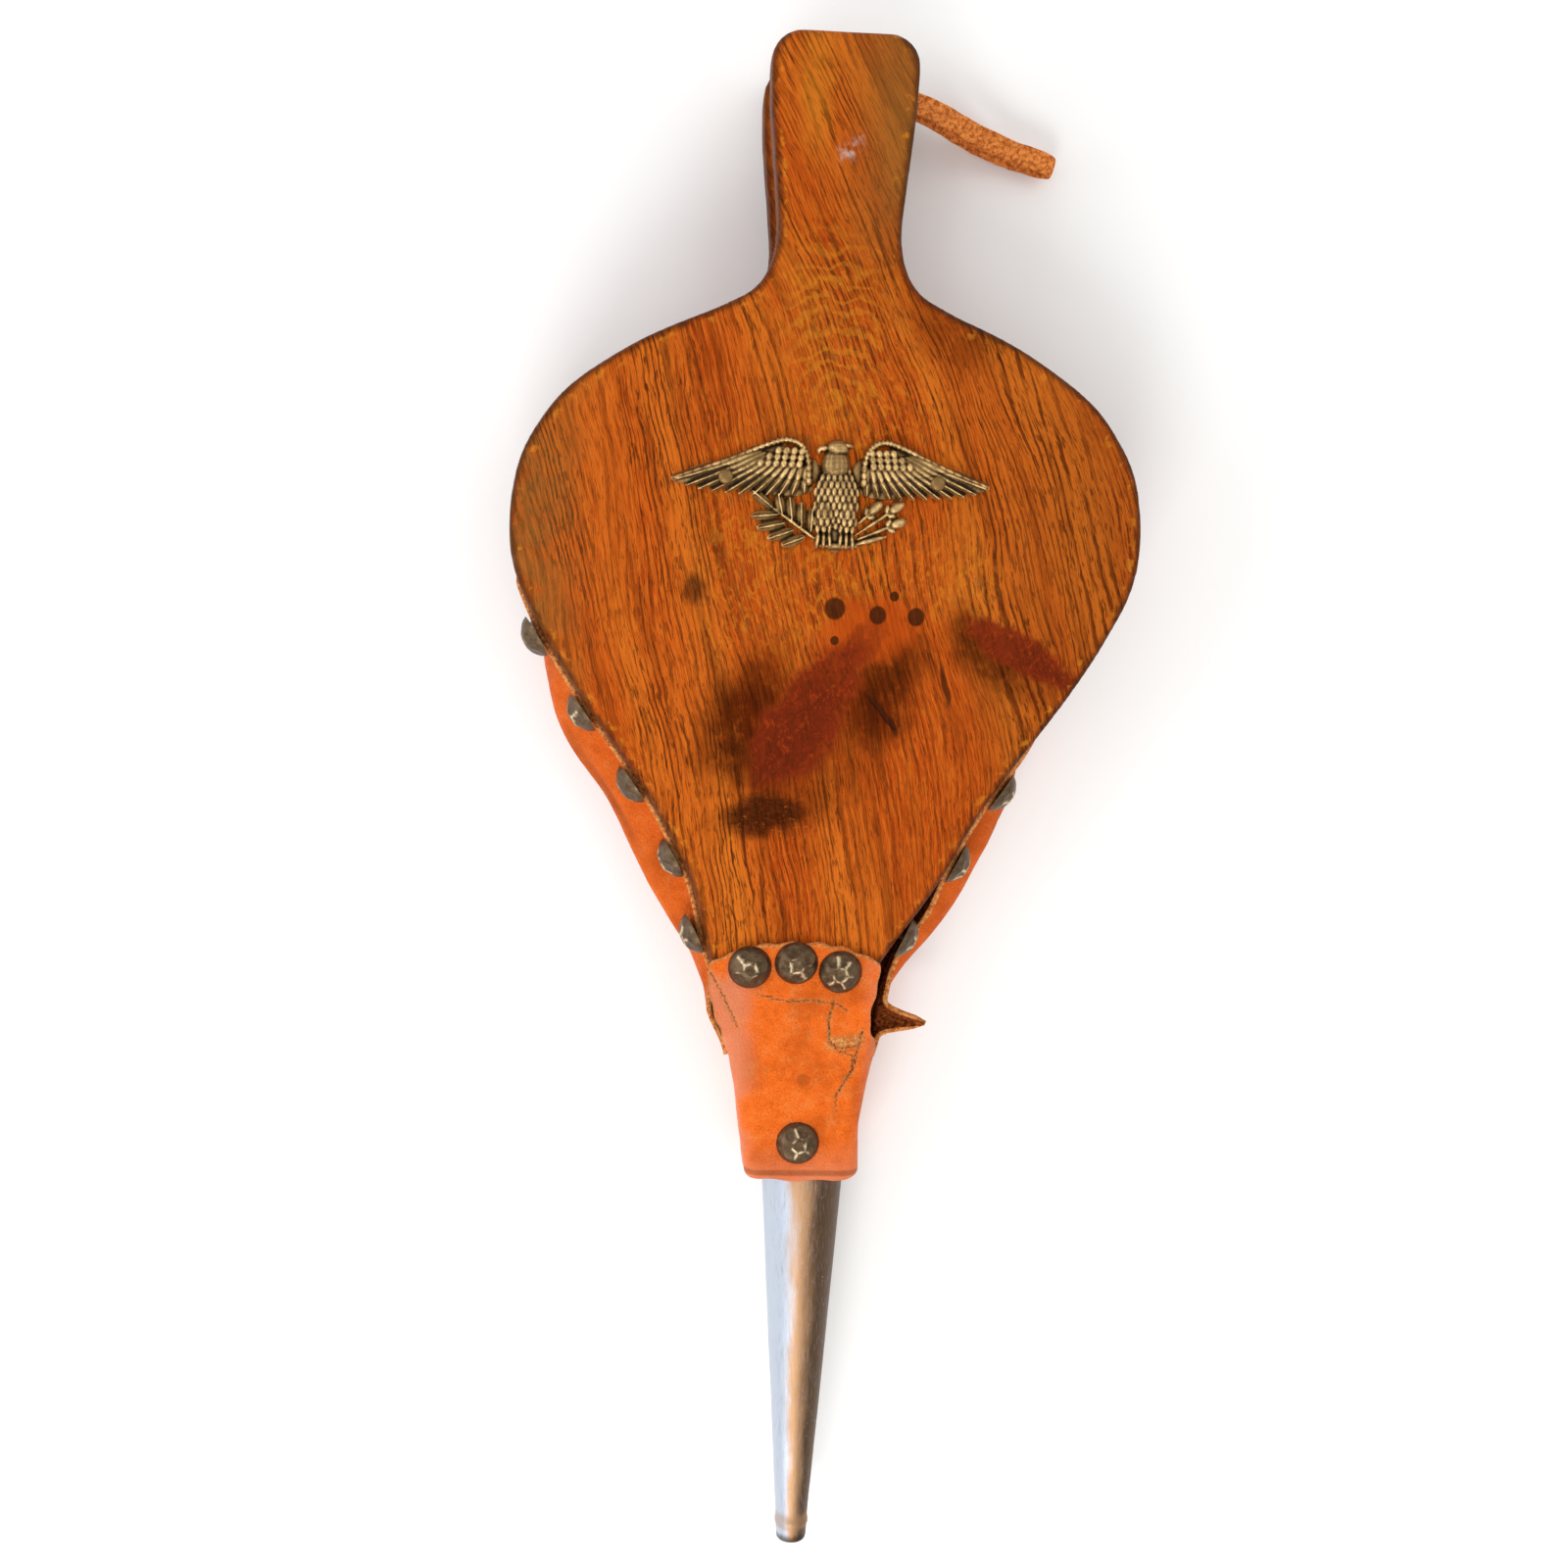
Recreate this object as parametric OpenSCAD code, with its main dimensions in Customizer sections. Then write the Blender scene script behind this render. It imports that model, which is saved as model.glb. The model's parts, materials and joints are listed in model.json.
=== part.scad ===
// Hand bellows for a hearth: two pear-shaped boards with handles, joined at the nose by a leather hinge,
// a leather gusset between them, a spun metal nozzle, an intake valve, hammered nails and a brass ornament.
// +Y runs from the nozzle to the handles and +Z is up. The lower board lies flat on z = 0.

/* [Boards] */
// Length from the nozzle's mouth to the ends of the handles
total_l = 432; // [425:1:440]
// Thickness of each board
board_t = 12.5; // [12:0.5:14]
// Widest part of the boards, at the middle of the pear
board_w = 174; // [168:1:180]
// Radius of the corners at the handles' ends
handle_corner_r = 8; // [4:1:12]
// Angle that the folded leather holds the boards apart at rest
rest_angle = 4; // [3:0.5:6]

/* [Nose and nozzle] */
// Height of the nozzle's axis
nozzle_z = 17.3; // [17:0.1:18]
// Outer radius of the nozzle where it leaves the nose
nozzle_root_r = 12.2; // [12:0.1:12.5]
// Outer radius of the nozzle's mouth
nozzle_tip_r = 4.5; // [4.4:0.1:6]
// Radius of the hole at the nozzle's mouth
mouth_r = 3.2; // [2.5:0.1:3.4]
// Length of the straight hole at the nozzle's mouth
mouth_l = 12; // [8:1:16]
// Depth that the nozzle is driven into the nose block
socket_l = 8; // [7:1:9]
// Radius of the air channel through the nose block
channel_r = 6.5; // [4:0.5:7]

/* [Leather] */
// Thickness of the gusset and the collar
leather_t = 1.6; // [1.2:0.1:1.8]
// How far the gusset's fold stands out on the left, beside the front half of the boards
bulge_left = 10.5; // [8:0.5:14]
// How far the gusset's fold stands out on the right
bulge_right = 10.5; // [8:0.5:14]
// How far the gusset's fold tucks in where the gusset stands inside the boards' edges
tuck = 7; // [4:1:8]
// Distance of the gusset inside the boards' edges round the back
inset = 7; // [6:0.5:8]

/* [Nails] */
// Radius of the hammered nail heads
head_r = 6.2; // [5:0.1:6.2]
// Height of the hammered nail heads
head_h = 4; // [3:0.25:4.5]
// Distance from nail to nail along the boards' edges
nail_pitch = 24.5; // [22:0.5:25]
// Distance from tack to tack round the back
tack_pitch = 15; // [10:1:20]
// Upward lean of the nails in the upper board's edge
nail_lean = 11; // [0:1:30]

/* [Intake valve] */
// Radius of the intake hole in the lower board
intake_r = 13; // [10:0.5:14]
// Distance from the middle of the intake hole to the valve's hinge
valve_reach = 19; // [17:0.5:21]

/* [Hanging thong] */
// Width of the flat lace
lace_w = 6; // [4:0.5:6.5]
// Thickness of the lace
lace_t = 2.2; // [1.6:0.1:2.4]

/* [Ornament] */
// Thickness of the bird-shaped plate
ornament_t = 3; // [2:0.5:4]

/* [Hidden] */
$fn = 48;

WOOD = "#a8521f";
WOOD_DARK = "#8a4018";
LEATHER = "#d3742f";
SUEDE = "#d98a48";
NAIL = "#5b5040";
METAL = "#8d7f6c";
BRASS = "#8c7440";

mouth_y = -total_l / 2;
handle_y = total_l / 2;

// The leather hinge: an axis along X at the top arris of the nose block.
hinge_y = -58;
hinge_z = 31.5;
// Slack between the nose block's rear face and the upper board's front end.
hinge_gap = 1.5;

// Where the neck of the handles begins, and where the gusset crosses between them.
neck_y = 162;
back_y = 156;

// Nose block, above and in front of the lower board.
nose_front_y = -98.5;
nose_rear_y = hinge_y - hinge_gap;
nose_bottom = 3.2;
nose_top = hinge_z - 0.1;
// The lower board ends here, under the nose block's lap.
lap_y = -74;

// A touch of air between leather and wood.
skin = 0.05;
// Air between parts of two bodies.
free = 0.4;

handle_half = 19.7;
// Half widths at stations along Y: the pear and the handle, shared by both boards.
wide = board_w / 2;
pear = [
    [-29, 28], [-11, 36.3], [12, 48.8], [40, 68.4], [60, wide - 6.8], [74, wide - 1],
    [88, wide], [102, wide - 2.4], [113, wide - 8], [123, wide - 16.5], [133, wide - 31],
    [139, wide - 42.5], [145, 30.5], [151, 21], [neck_y, 16.8], [178, 17.6], [194, 19.2], [206, handle_half]
];
upper_front = [[-57, 16.4], [-44.5, 20.6], [-36, 24.6]];
nose = [[nose_front_y, 15.1], [-92, 15.3], [-84, 15.9], [-76, 17], [-68, 18.6], [nose_rear_y, 20.8]];
lower_front = [[lap_y, 16.6], [-60, 20.4], [-48, 23], [-38, 25.2]];

// A smooth step from 0 to 1 as y goes from a to b.
function step(y, a, b) = let (t = min(1, max(0, (y - a) / (b - a)))) t * t * (3 - 2 * t);
// The boards' front end and the nose lie a little to the left of the nozzle's axis.
function drift(y) = -5.6 * step(y, -8, -44) + 3.3 * step(y, -50, -64) + step(y, -84, nose_front_y);
function drifted(p) = [for (q = p) [q[0] + drift(q[1]), q[1]]];

// A smooth curve through the points, cut into n steps between each pair.
function spline_at(a, b, c, d, t) =
    0.5 * (2 * b + (c - a) * t + (2 * a - 5 * b + 4 * c - d) * t * t + (3 * b - a - 3 * c + d) * t * t * t);
function smooth(p, n) = [
    for (i = [0:len(p) - 2])
        for (k = [0:n - 1])
            spline_at(p[max(i - 1, 0)], p[i], p[i + 1], p[min(i + 2, len(p) - 1)], k / n),
    p[len(p) - 1]
];

// The right-hand edge of a board from its front to the end of its handle, as [x, y] points.
function flipped(p) = [for (q = p) [q[1], q[0]]];
function edge_right(front) = flipped(smooth(concat(front, pear), 4));
function handle_end(y, r) = [for (a = [15:15:90]) [handle_half - r + r * cos(a), y - r + r * sin(a)]];
function mirrored(p) = [for (i = [len(p) - 1:-1:0]) [-p[i][0], p[i][1]]];
function whole(right) = drifted(concat(right, mirrored(right)));

// Points moved outwards, square to the path, by d.
function side_normal(p, i) =
    let (t = p[min(i + 1, len(p) - 1)] - p[max(i - 1, 0)])
    [t[1], -t[0]] / norm(t);
function moved(p, d) = [for (i = [0:len(p) - 1]) p[i] + d * side_normal(p, i)];
function up_to(p, y) = [for (q = p) if (q[1] <= y) q];
function from_y(p, y) = [for (q = p) if (q[1] >= y) q];

// Running length along a path, and the point and outward normal at a length.
function lengths(p, i = 0, sum = 0, out = [0]) =
    i >= len(p) - 1 ? out :
    let (next = sum + norm(p[i + 1] - p[i])) lengths(p, i + 1, next, concat(out, [next]));
function segment_at(s, l, i = 0) = i >= len(l) - 2 || l[i + 1] >= s ? i : segment_at(s, l, i + 1);
function point_at(p, s, l) =
    let (i = segment_at(s, l)) p[i] + (p[i + 1] - p[i]) * (s - l[i]) / (l[i + 1] - l[i]);
function normal_at(p, s, l) =
    let (i = segment_at(s, l), t = p[i + 1] - p[i]) [t[1], -t[0]] / norm(t);

upper_edge = edge_right(upper_front);
lower_edge = edge_right(lower_front);
// End of the upper handle along the board, so that both handles end together at rest.
upper_end = hinge_y + (handle_y - hinge_y - board_t * sin(rest_angle)) / cos(rest_angle);

// The gusset is nailed over the boards' edges beside the nose. Farther back it stands inside the edges, and
// its flanges are tacked to the boards' inner faces. The change is farther forward on the right.
nail_y = -30.5;
turn_left = 62;
turn_right = 28;
function turn(side) = side > 0 ? turn_right : turn_left;
// Length over which the gusset moves from the edge to its place inside it.
turn_l = 18;
nails_left = 5;
nails_right = 3;
nail_path = from_y(upper_edge, nail_y);
nail_lengths = lengths(nail_path);

// Puts a child drawn on the closed upper board, with its top face at z = 0, where the board rests.
module on_upper() {
    translate([0, hinge_y, hinge_z]) rotate([rest_angle, 0, 0]) translate([0, -hinge_y, 0]) children();
}

// A band of leather along one side's edge of a board, between two distances from the edge.
module edge_band(edge, side, inner, outer) {
    band = concat(moved(edge, inner), [for (i = [len(edge) - 1:-1:0]) moved(edge, outer)[i]]);
    polygon(drifted([for (q = band) [side * q[0], q[1]]]));
}

// Domed nail with its head's flat side on z = 0 and its shank along -Z.
module nail(r, h, shank_r, shank_l) {
    dome_r = (r * r + h * h) / (2 * h);
    intersection() {
        translate([0, 0, h - dome_r]) sphere(r = dome_r, $fn = 48);
        cylinder(r = r + 1, h = h + 1);
    }
    translate([0, 0, -shank_l]) cylinder(r1 = shank_r / 4, r2 = shank_r, h = shank_l + 0.5, $fn = 24);
}

// Nails along one side of a board, leaning up by lean; side is 1 for the right and -1 for the left.
module edge_nails(side, z, lean) {
    proud = leather_t + 0.3 + head_r * sin(lean) / 2;
    for (k = [0:(side > 0 ? nails_right : nails_left) - 1]) {
        s = k * nail_pitch;
        p = point_at(nail_path, s, nail_lengths);
        n = normal_at(nail_path, s, nail_lengths);
        q = p + proud * n;
        translate([side * q[0] + drift(q[1]), q[1], z])
            rotate([0, 0, atan2(n[1], side * n[0])])
                rotate([0, 90 - lean, 0])
                    nail(head_r, head_h, 1.1, 9);
    }
}

// ---- Lower body ----

// The brads through the lower board's front into the nose block.
brad_y = -67;
brad_r = 1.2;
brads_at = drifted([[-11, brad_y], [11, brad_y]]);
knot_at = [0, 205];
knot_depth = 8;
thong_hole_r = 4.6;
intake_y = 70;

module lower_board() {
    color(WOOD_DARK)
        difference() {
            linear_extrude(board_t)
                polygon(whole(concat(lower_edge, handle_end(handle_y, handle_corner_r))));
            translate([0, intake_y, -1]) cylinder(r = intake_r, h = board_t + 2);
            translate([knot_at[0], knot_at[1], -1]) cylinder(r = thong_hole_r, h = board_t + 2);
            translate([knot_at[0], knot_at[1], -1]) cylinder(r = 9, h = knot_depth + 1);
            for (p = brads_at)
                translate([p[0], p[1], -1]) cylinder(r = brad_r + 0.1, h = board_t + 2);
        }
}

// Solid block that the nozzle is driven into; it laps over the front of the lower board.
module nose_block() {
    plan = flipped(smooth(nose, 3));
    color(WOOD_DARK)
        difference() {
            translate([0, 0, nose_bottom])
                linear_extrude(nose_top - nose_bottom) polygon(whole(plan));
            translate([-50, lap_y - skin, -1])
                cube([100, 40, board_t + 1 + skin]);
            translate([0, nose_front_y - 1, nozzle_z])
                rotate([-90, 0, 0]) cylinder(r = nozzle_root_r + 0.1, h = socket_l + 1.2);
            translate([0, nose_front_y - 1, nozzle_z])
                rotate([-90, 0, 0]) cylinder(r = channel_r, h = 60);
        }
}

// Two wire brads up through the lower board into the nose block.
module block_brads() {
    color(NAIL)
        for (p = brads_at)
            translate([p[0], p[1], 0.3]) {
                cylinder(r = brad_r, h = 21, $fn = 24);
                translate([0, 0, 0.2]) cylinder(r = 2.6, h = 1, $fn = 24);
            }
}

// Spun metal cone, hollow from the socket to its mouth.
module nozzle() {
    root = nose_front_y + socket_l;
    l = root - mouth_y;
    color(METAL)
        translate([0, root, nozzle_z])
            rotate([90, 0, 0])
                rotate_extrude($fn = 64)
                    polygon([
                        [nozzle_root_r - 1.2, 0], [nozzle_root_r, 0],
                        [nozzle_root_r, socket_l], [nozzle_tip_r + 0.3, l - 7],
                        [nozzle_tip_r + 0.5, l - 6], [nozzle_tip_r + 0.4, l - 5],
                        [nozzle_tip_r, l - 1], [nozzle_tip_r - 0.7, l],
                        [mouth_r, l], [mouth_r, l - mouth_l],
                        [nozzle_root_r - 1.2, socket_l]
                    ]);
}

// Leather sleeve round the nose block, open at the front round the nozzle.
module nose_collar() {
    plan = flipped(smooth(nose, 3));
    back = nose_rear_y + 0.3;
    outside = concat([[plan[0][0] + leather_t + skin, nose_front_y - 0.4]],
                     moved(plan, leather_t + skin), [[plan[len(plan) - 1][0] + leather_t + skin, back]]);
    inside = concat([[plan[0][0] + skin, nose_front_y - 1]],
                    moved(plan, skin), [[plan[len(plan) - 1][0] + skin, back + 1]]);
    color(LEATHER)
        difference() {
            translate([0, 0, nose_bottom - leather_t - skin])
                linear_extrude(nose_top - nose_bottom + 2 * (leather_t + skin)) polygon(whole(outside));
            translate([0, 0, nose_bottom - skin])
                linear_extrude(nose_top - nose_bottom + 2 * skin) polygon(whole(inside));
            translate([-50, lap_y - 0.4, -1]) cube([100, 40, 9]);
        }
}

module collar_nail() {
    color(NAIL)
        translate([drift(-89) - 0.8, -89, nose_top + skin + leather_t]) nail(head_r, head_h, 1.1, 7);
}

// Flat tacks that close the collar's seam underneath.
module collar_tacks() {
    color(NAIL)
        for (x = [-5, 5], y = [-87, -79])
            translate([x + drift(y), y, nose_bottom - leather_t - skin])
                rotate([180, 0, 0]) flat_tack(3.2, 0.9, 5);
}

// Tack with its head's underside on z = 0 and its shank along -Z.
module flat_tack(r, h, l) {
    cylinder(r = r, h = h, $fn = 32);
    translate([0, 0, -l]) cylinder(r1 = 0.2, r2 = 0.7, h = l + 0.2, $fn = 16);
}

// Leather wall from the lower board up to the upper board: it stands out beside the front half, tucks in
// round the back, and crosses between the handles at the neck.
side_path = concat([[21, hinge_y - 0.6]], up_to(from_y(lower_edge, hinge_y + 1), 146));
cross_path = [[22, back_y - 7], [15, back_y - 3], [8, back_y - 1], [2, back_y]];
wall_path = concat(side_path, cross_path);
// Height of the foot of the gusset's margin on the lower board's edge.
margin_foot = 1.2;
// Height of the upper board's underside above the lower board at y, at rest.
function underside(y) = hinge_z - board_t / cos(rest_angle) + (y - hinge_y) * tan(rest_angle);
// How far the wall's fold stands out, and how far the whole wall stands inside the edge.
function fold(y, side) =
    (side > 0 ? bulge_right * step(y, hinge_y, -24) * (1 - step(y, 6, 40))
        : bulge_left * step(y, -48, -2) * (1 - step(y, 24, 60)))
    - tuck * step(y, turn(side) - 20, turn(side) + 20) * (1 - step(y, 120, 150));
function inward(y, side) = inset * step(y, turn(side) + turn_l / 2, turn(side) + turn_l) * (1 - step(y, 136, 146));
// Section of the wall at a station, as [outward, up]: up the outer side from the margin's foot and back down
// the inner side. Where the wall stands inside the edge it has no margin, so its foot is on the board.
function wall_side(y, side, out) =
    let (low = board_t + skin, high = underside(y - inward(y, side)) - free)
    [for (t = [0:0.25:1]) [out + fold(y, side) * sin(180 * t), low + (high - low) * t]];
function backwards(p) = [for (i = [len(p) - 1:-1:0]) p[i]];
function wall_section(y, side) =
    let (
        in = skin - inward(y, side), out = in + leather_t,
        foot = y < turn(side) ? margin_foot : board_t + skin / 2
    )
    concat([[out, foot]], wall_side(y, side, out), backwards(wall_side(y, side, in)), [[in, foot]]);
function wall_ring(i, side) =
    let (p = wall_path, n = side_normal(p, i))
    [for (q = wall_section(p[i][1], side))
        [side * (p[i][0] + n[0] * q[0]) + drift(p[i][1]), p[i][1] + n[1] * q[0], q[1]]];
module swept(rings) {
    n = len(rings[0]);
    last = len(rings) - 1;
    polyhedron(
        points = [for (r = rings) each r],
        faces = concat(
            [[for (k = [n - 1:-1:0]) k]],
            [for (i = [0:last - 1], k = [0:n - 1])
                each [[i * n + k, i * n + (k + 1) % n, (i + 1) * n + (k + 1) % n],
                      [i * n + k, (i + 1) * n + (k + 1) % n, (i + 1) * n + k]]],
            [[for (k = [0:n - 1]) last * n + k]]
        )
    );
}
module gusset() {
    last = len(wall_path) - 1;
    color(LEATHER)
        swept(concat([for (i = [0:last]) wall_ring(i, 1)], [for (i = [last:-1:0]) wall_ring(i, -1)]));
}

// ---- Upper body ----

module upper_board() {
    color(WOOD)
        on_upper()
            difference() {
                translate([0, 0, -board_t])
                    linear_extrude(board_t)
                        polygon(whole(concat(upper_edge, handle_end(upper_end, handle_corner_r))));
                // Bevel under the front end, so that air reaches the nose block's channel.
                translate([-50, upper_front[0][0] - 1, -board_t - 1])
                    rotate([45, 0, 0]) translate([0, -9, -9]) cube([100, 18, 18]);
            }
}

// The gusset's margin, nailed to the upper board's edge.
module gusset_upper_margin() {
    color(LEATHER)
        on_upper()
            translate([0, 0, -board_t])
                linear_extrude(board_t - 3.5)
                    for (side = [-1, 1])
                        edge_band(up_to(from_y(upper_edge, -52), turn(side)), side, skin, skin + leather_t);
}

// Outline of the gusset's flange on a board's inner face, from where the wall turns inside the edge.
module flange_plan() {
    for (side = [-1, 1])
        edge_band(up_to(from_y(upper_edge, turn(side) + turn_l), 136), side, leather_t + 0.4 - inset, -0.8);
    translate([-14, back_y + leather_t + 0.4]) square([28, 6]);
}
module flange_lower() {
    color(LEATHER) translate([0, 0, board_t + skin]) linear_extrude(leather_t) flange_plan();
}
module flange_upper() {
    color(LEATHER)
        on_upper() translate([0, 0, -board_t - skin - leather_t]) linear_extrude(leather_t) flange_plan();
}
// The flange's tacks, on z = 0.
module flange_tack_row() {
    for (side = [-1, 1]) {
        path = moved(up_to(from_y(upper_edge, turn(side) + turn_l + 3), 134), -3.2);
        l = lengths(path);
        for (s = [0:tack_pitch:l[len(l) - 1]]) {
            p = point_at(path, s, l);
            translate([side * p[0], p[1], 0]) flat_tack(2.2, 0.8, 7);
        }
    }
    for (x = [-9, 0, 9])
        translate([x, back_y + leather_t + 3.4, 0]) flat_tack(2.2, 0.8, 7);
}

// The collar's tongue, which lies on the upper board and is the hinge.
module collar_flap() {
    color(LEATHER)
        on_upper()
            translate([0, 0, skin])
                linear_extrude(leather_t)
                    polygon(whole([[16.6, -57.4], [19, -50], [21.6, -43.5], [23.6, -39],
                                   [21, -35.2], [15, -32.2], [8, -30.8], [1, -30.4]]));
}

module flap_nails() {
    color(NAIL)
        on_upper()
            for (p = drifted([[-13, -37.4], [0, -36], [13, -38.4]]))
                translate([p[0], p[1], skin + leather_t]) nail(head_r, head_h, 1.1, 9);
}

module upper_nails(side) {
    color(NAIL) on_upper() edge_nails(side, -board_t / 2 - 0.6, nail_lean);
}
module upper_nails_left() { upper_nails(-1); }
module upper_nails_right() { upper_nails(1); }

module lower_nails(side) {
    color(NAIL) edge_nails(side, 6.6, 0);
}
module lower_nails_left() { lower_nails(-1); }
module lower_nails_right() { lower_nails(1); }

module flange_tacks_upper() {
    color(NAIL)
        on_upper()
            translate([0, 0, -board_t - skin - leather_t]) mirror([0, 0, 1]) flange_tack_row();
}
module flange_tacks_lower() {
    color(NAIL) translate([0, 0, board_t + skin + leather_t]) flange_tack_row();
}

// ---- Ornament ----

// Half of a bird with spread wings, from the crown down the right side to the tail, as [x, y].
ornament_y = 95;
wing = [
    [0, 14], [4.5, 13], [5, 8], [9, 9], [12, 14.5], [20, 14.5], [32, 9], [43.4, 3.5],
    [41, 0.5], [34, 0.2], [27, -1.5], [20, -3.5], [19.5, -9], [14, -13], [6, -15], [0, -15.4]
];
module ornament() {
    color(BRASS)
        on_upper()
            translate([0, ornament_y, skin])
                linear_extrude(ornament_t)
                    polygon(concat(wing, [for (i = [len(wing) - 2:-1:1]) [-wing[i][0], wing[i][1]]]));
}
module ornament_pins() {
    color(BRASS)
        on_upper()
            for (x = [-28.9, 28.9])
                translate([x, ornament_y + 4.5, skin + ornament_t]) nail(2, 1, 0.7, 9);
}

// ---- Intake valve ----

valve_y = intake_y + valve_reach;
flap_r = intake_r + 4;
// Half width of the flap's tail and of the strip that is tacked down.
strip_half = 12;
module valve_flap() {
    color(LEATHER)
        translate([0, 0, board_t + 0.2])
            linear_extrude(leather_t)
                difference() {
                    union() {
                        translate([0, intake_y]) circle(r = flap_r);
                        translate([-strip_half, intake_y]) square([2 * strip_half, valve_reach - 0.4]);
                    }
                    translate([-50, valve_y - 0.4]) square([100, 50]);
                }
}
// Thin wooden disc glued to the flap to keep it flat.
module valve_disc() {
    color(WOOD)
        translate([0, intake_y - 1, board_t + 0.25 + leather_t]) cylinder(r = flap_r - 3, h = 2);
}
module valve_strip() {
    color(LEATHER)
        translate([-strip_half, valve_y + 0.4, board_t + skin]) cube([2 * strip_half, 11, leather_t]);
}
module valve_tacks() {
    color(NAIL)
        for (x = [-7, 0, 7])
            translate([x, valve_y + 6, board_t + 2 * skin + leather_t]) flat_tack(2.6, 0.8, 7);
}

// ---- Hanging thong ----

// The lace leaves the knot, goes up through the lower handle and out between the handles, droops to the
// surface, folds back over itself and returns to the knot.
lace_route = [
    [1.5, 205, 4], [1.5, 205, 9], [1.7, 205, 13], [3, 205.2, 15.6], [6, 205.6, 17], [11, 206, 17.2],
    [17, 206, 16.4], [23, 205.4, 14.4], [29, 203.8, 11.4], [35, 201.6, 8], [41, 199.6, 5],
    [47, 197.8, 2.8], [53, 196.2, 1.7], [58, 194.9, 1.5], [62, 193.8, 2.2], [64.4, 193.1, 4.6],
    [63, 193.5, 7.4], [59, 194.6, 8.4], [53, 196.2, 9.2], [46, 198.2, 10.8], [39, 200.4, 13.4],
    [32, 203, 16.4], [25, 205.2, 18.8], [18, 206.4, 20.2], [11, 206.6, 20.9], [5, 206, 21],
    [1, 205.4, 20], [-1, 205.1, 17.4], [-1.5, 205, 13.5], [-1.5, 205, 9], [-1.5, 205, 4]
];
// Unit vector across the lace, level, and the one square to it and to the route.
function unit(v) = v / norm(v);
function heading(p, i) = unit(p[min(i + 1, len(p) - 1)] - p[max(i - 1, 0)]);
lace_across = unit([0.28, 0.96, 0]);
function lace_ring(p, i) =
    let (t = heading(p, i), b = unit(lace_across - (lace_across * t) * t), n = cross(t, b))
    [for (a = [22.5:45:360]) p[i] + b * cos(a) * lace_w / 2 / cos(22.5) + n * sin(a) * lace_t / 2 / sin(67.5)];
module hanging_thong() {
    color(SUEDE)
        swept([for (i = [0:len(lace_route) - 1]) lace_ring(lace_route, i)]);
}
module thong_knot() {
    color(SUEDE)
        translate([knot_at[0], knot_at[1], 4]) {
            rotate_extrude($fn = 32) translate([3.6, 0]) circle(r = 3.2, $fn = 24);
            translate([0, 0, -2.6]) cylinder(r = 3.6, h = 5.2, $fn = 32);
        }
}

lower_board();
nose_block();
block_brads();
nozzle();
upper_board();
gusset();
gusset_upper_margin();
flange_lower();
flange_upper();
nose_collar();
collar_flap();
collar_nail();
collar_tacks();
flap_nails();
upper_nails_left();
upper_nails_right();
lower_nails_left();
lower_nails_right();
flange_tacks_upper();
flange_tacks_lower();
ornament();
ornament_pins();
valve_flap();
valve_disc();
valve_strip();
valve_tacks();
hanging_thong();
thong_knot();
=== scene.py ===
"""Hand bellows for a hearth, modelled piece by piece round the CAD frame.

The object is laid out along Y: the nozzle points to -Y, the handles to +Y, and the lower board lies on z = 0.
Lengths are in metres, and the places of marks and seams on the boards are given in millimetres.
"""

import json
import math
import random
from contextlib import contextmanager

import bmesh
import bpy
import numpy as np
from mathutils import Matrix, Vector, noise


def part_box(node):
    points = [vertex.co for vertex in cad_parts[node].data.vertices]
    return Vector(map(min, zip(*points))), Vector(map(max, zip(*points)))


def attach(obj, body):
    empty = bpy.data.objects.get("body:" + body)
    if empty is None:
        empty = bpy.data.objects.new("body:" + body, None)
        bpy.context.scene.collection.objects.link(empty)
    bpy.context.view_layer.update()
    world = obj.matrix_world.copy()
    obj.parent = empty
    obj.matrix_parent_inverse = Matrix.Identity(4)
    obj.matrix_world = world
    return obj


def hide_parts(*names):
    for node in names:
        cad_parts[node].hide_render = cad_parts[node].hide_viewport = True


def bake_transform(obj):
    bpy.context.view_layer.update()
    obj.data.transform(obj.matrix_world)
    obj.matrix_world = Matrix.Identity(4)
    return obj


bl_info = {
    "name": "Hand Bellows",
    "version": (1, 0, 0),
    "blender": (4, 5, 0),
    "location": "View3D > Sidebar > Bellows",
    "description": "Builds a hearth bellows: boards, leather, nozzle, nails, ornament, valve and thong",
    "category": "Object",
}

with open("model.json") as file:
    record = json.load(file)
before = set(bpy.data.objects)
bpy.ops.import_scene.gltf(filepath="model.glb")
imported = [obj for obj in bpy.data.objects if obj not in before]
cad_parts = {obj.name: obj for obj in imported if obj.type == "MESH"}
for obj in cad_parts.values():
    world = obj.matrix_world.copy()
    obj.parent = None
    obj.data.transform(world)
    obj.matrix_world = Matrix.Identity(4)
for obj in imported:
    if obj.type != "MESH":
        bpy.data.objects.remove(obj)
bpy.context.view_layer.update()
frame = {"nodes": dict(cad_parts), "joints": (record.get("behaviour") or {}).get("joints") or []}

MM = 0.001
HINGE = Vector(next(j["pos_m"] for j in frame["joints"] if j["name"] == "board_hinge"))


def resting_tilt():
    """Angle at which the upper board rests, from the slope of its top face."""
    faces = frame["nodes"]["upper_board"].data.polygons
    top = max((f for f in faces if f.normal.z > 0.9), key=lambda f: f.area)
    return math.atan2(-top.normal.y, top.normal.z)


TILT = resting_tilt()
# From board coordinates, where z = 0 is the upper board's top face, to the frame.
UPPER = Matrix.Translation(HINGE) @ Matrix.Rotation(TILT, 4, "X") @ Matrix.Translation((0, -HINGE.y, 0))
UPPER_INV = UPPER.inverted()
BOARD_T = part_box("lower_board")[1].z
SKIN = 0.05 * MM


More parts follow.
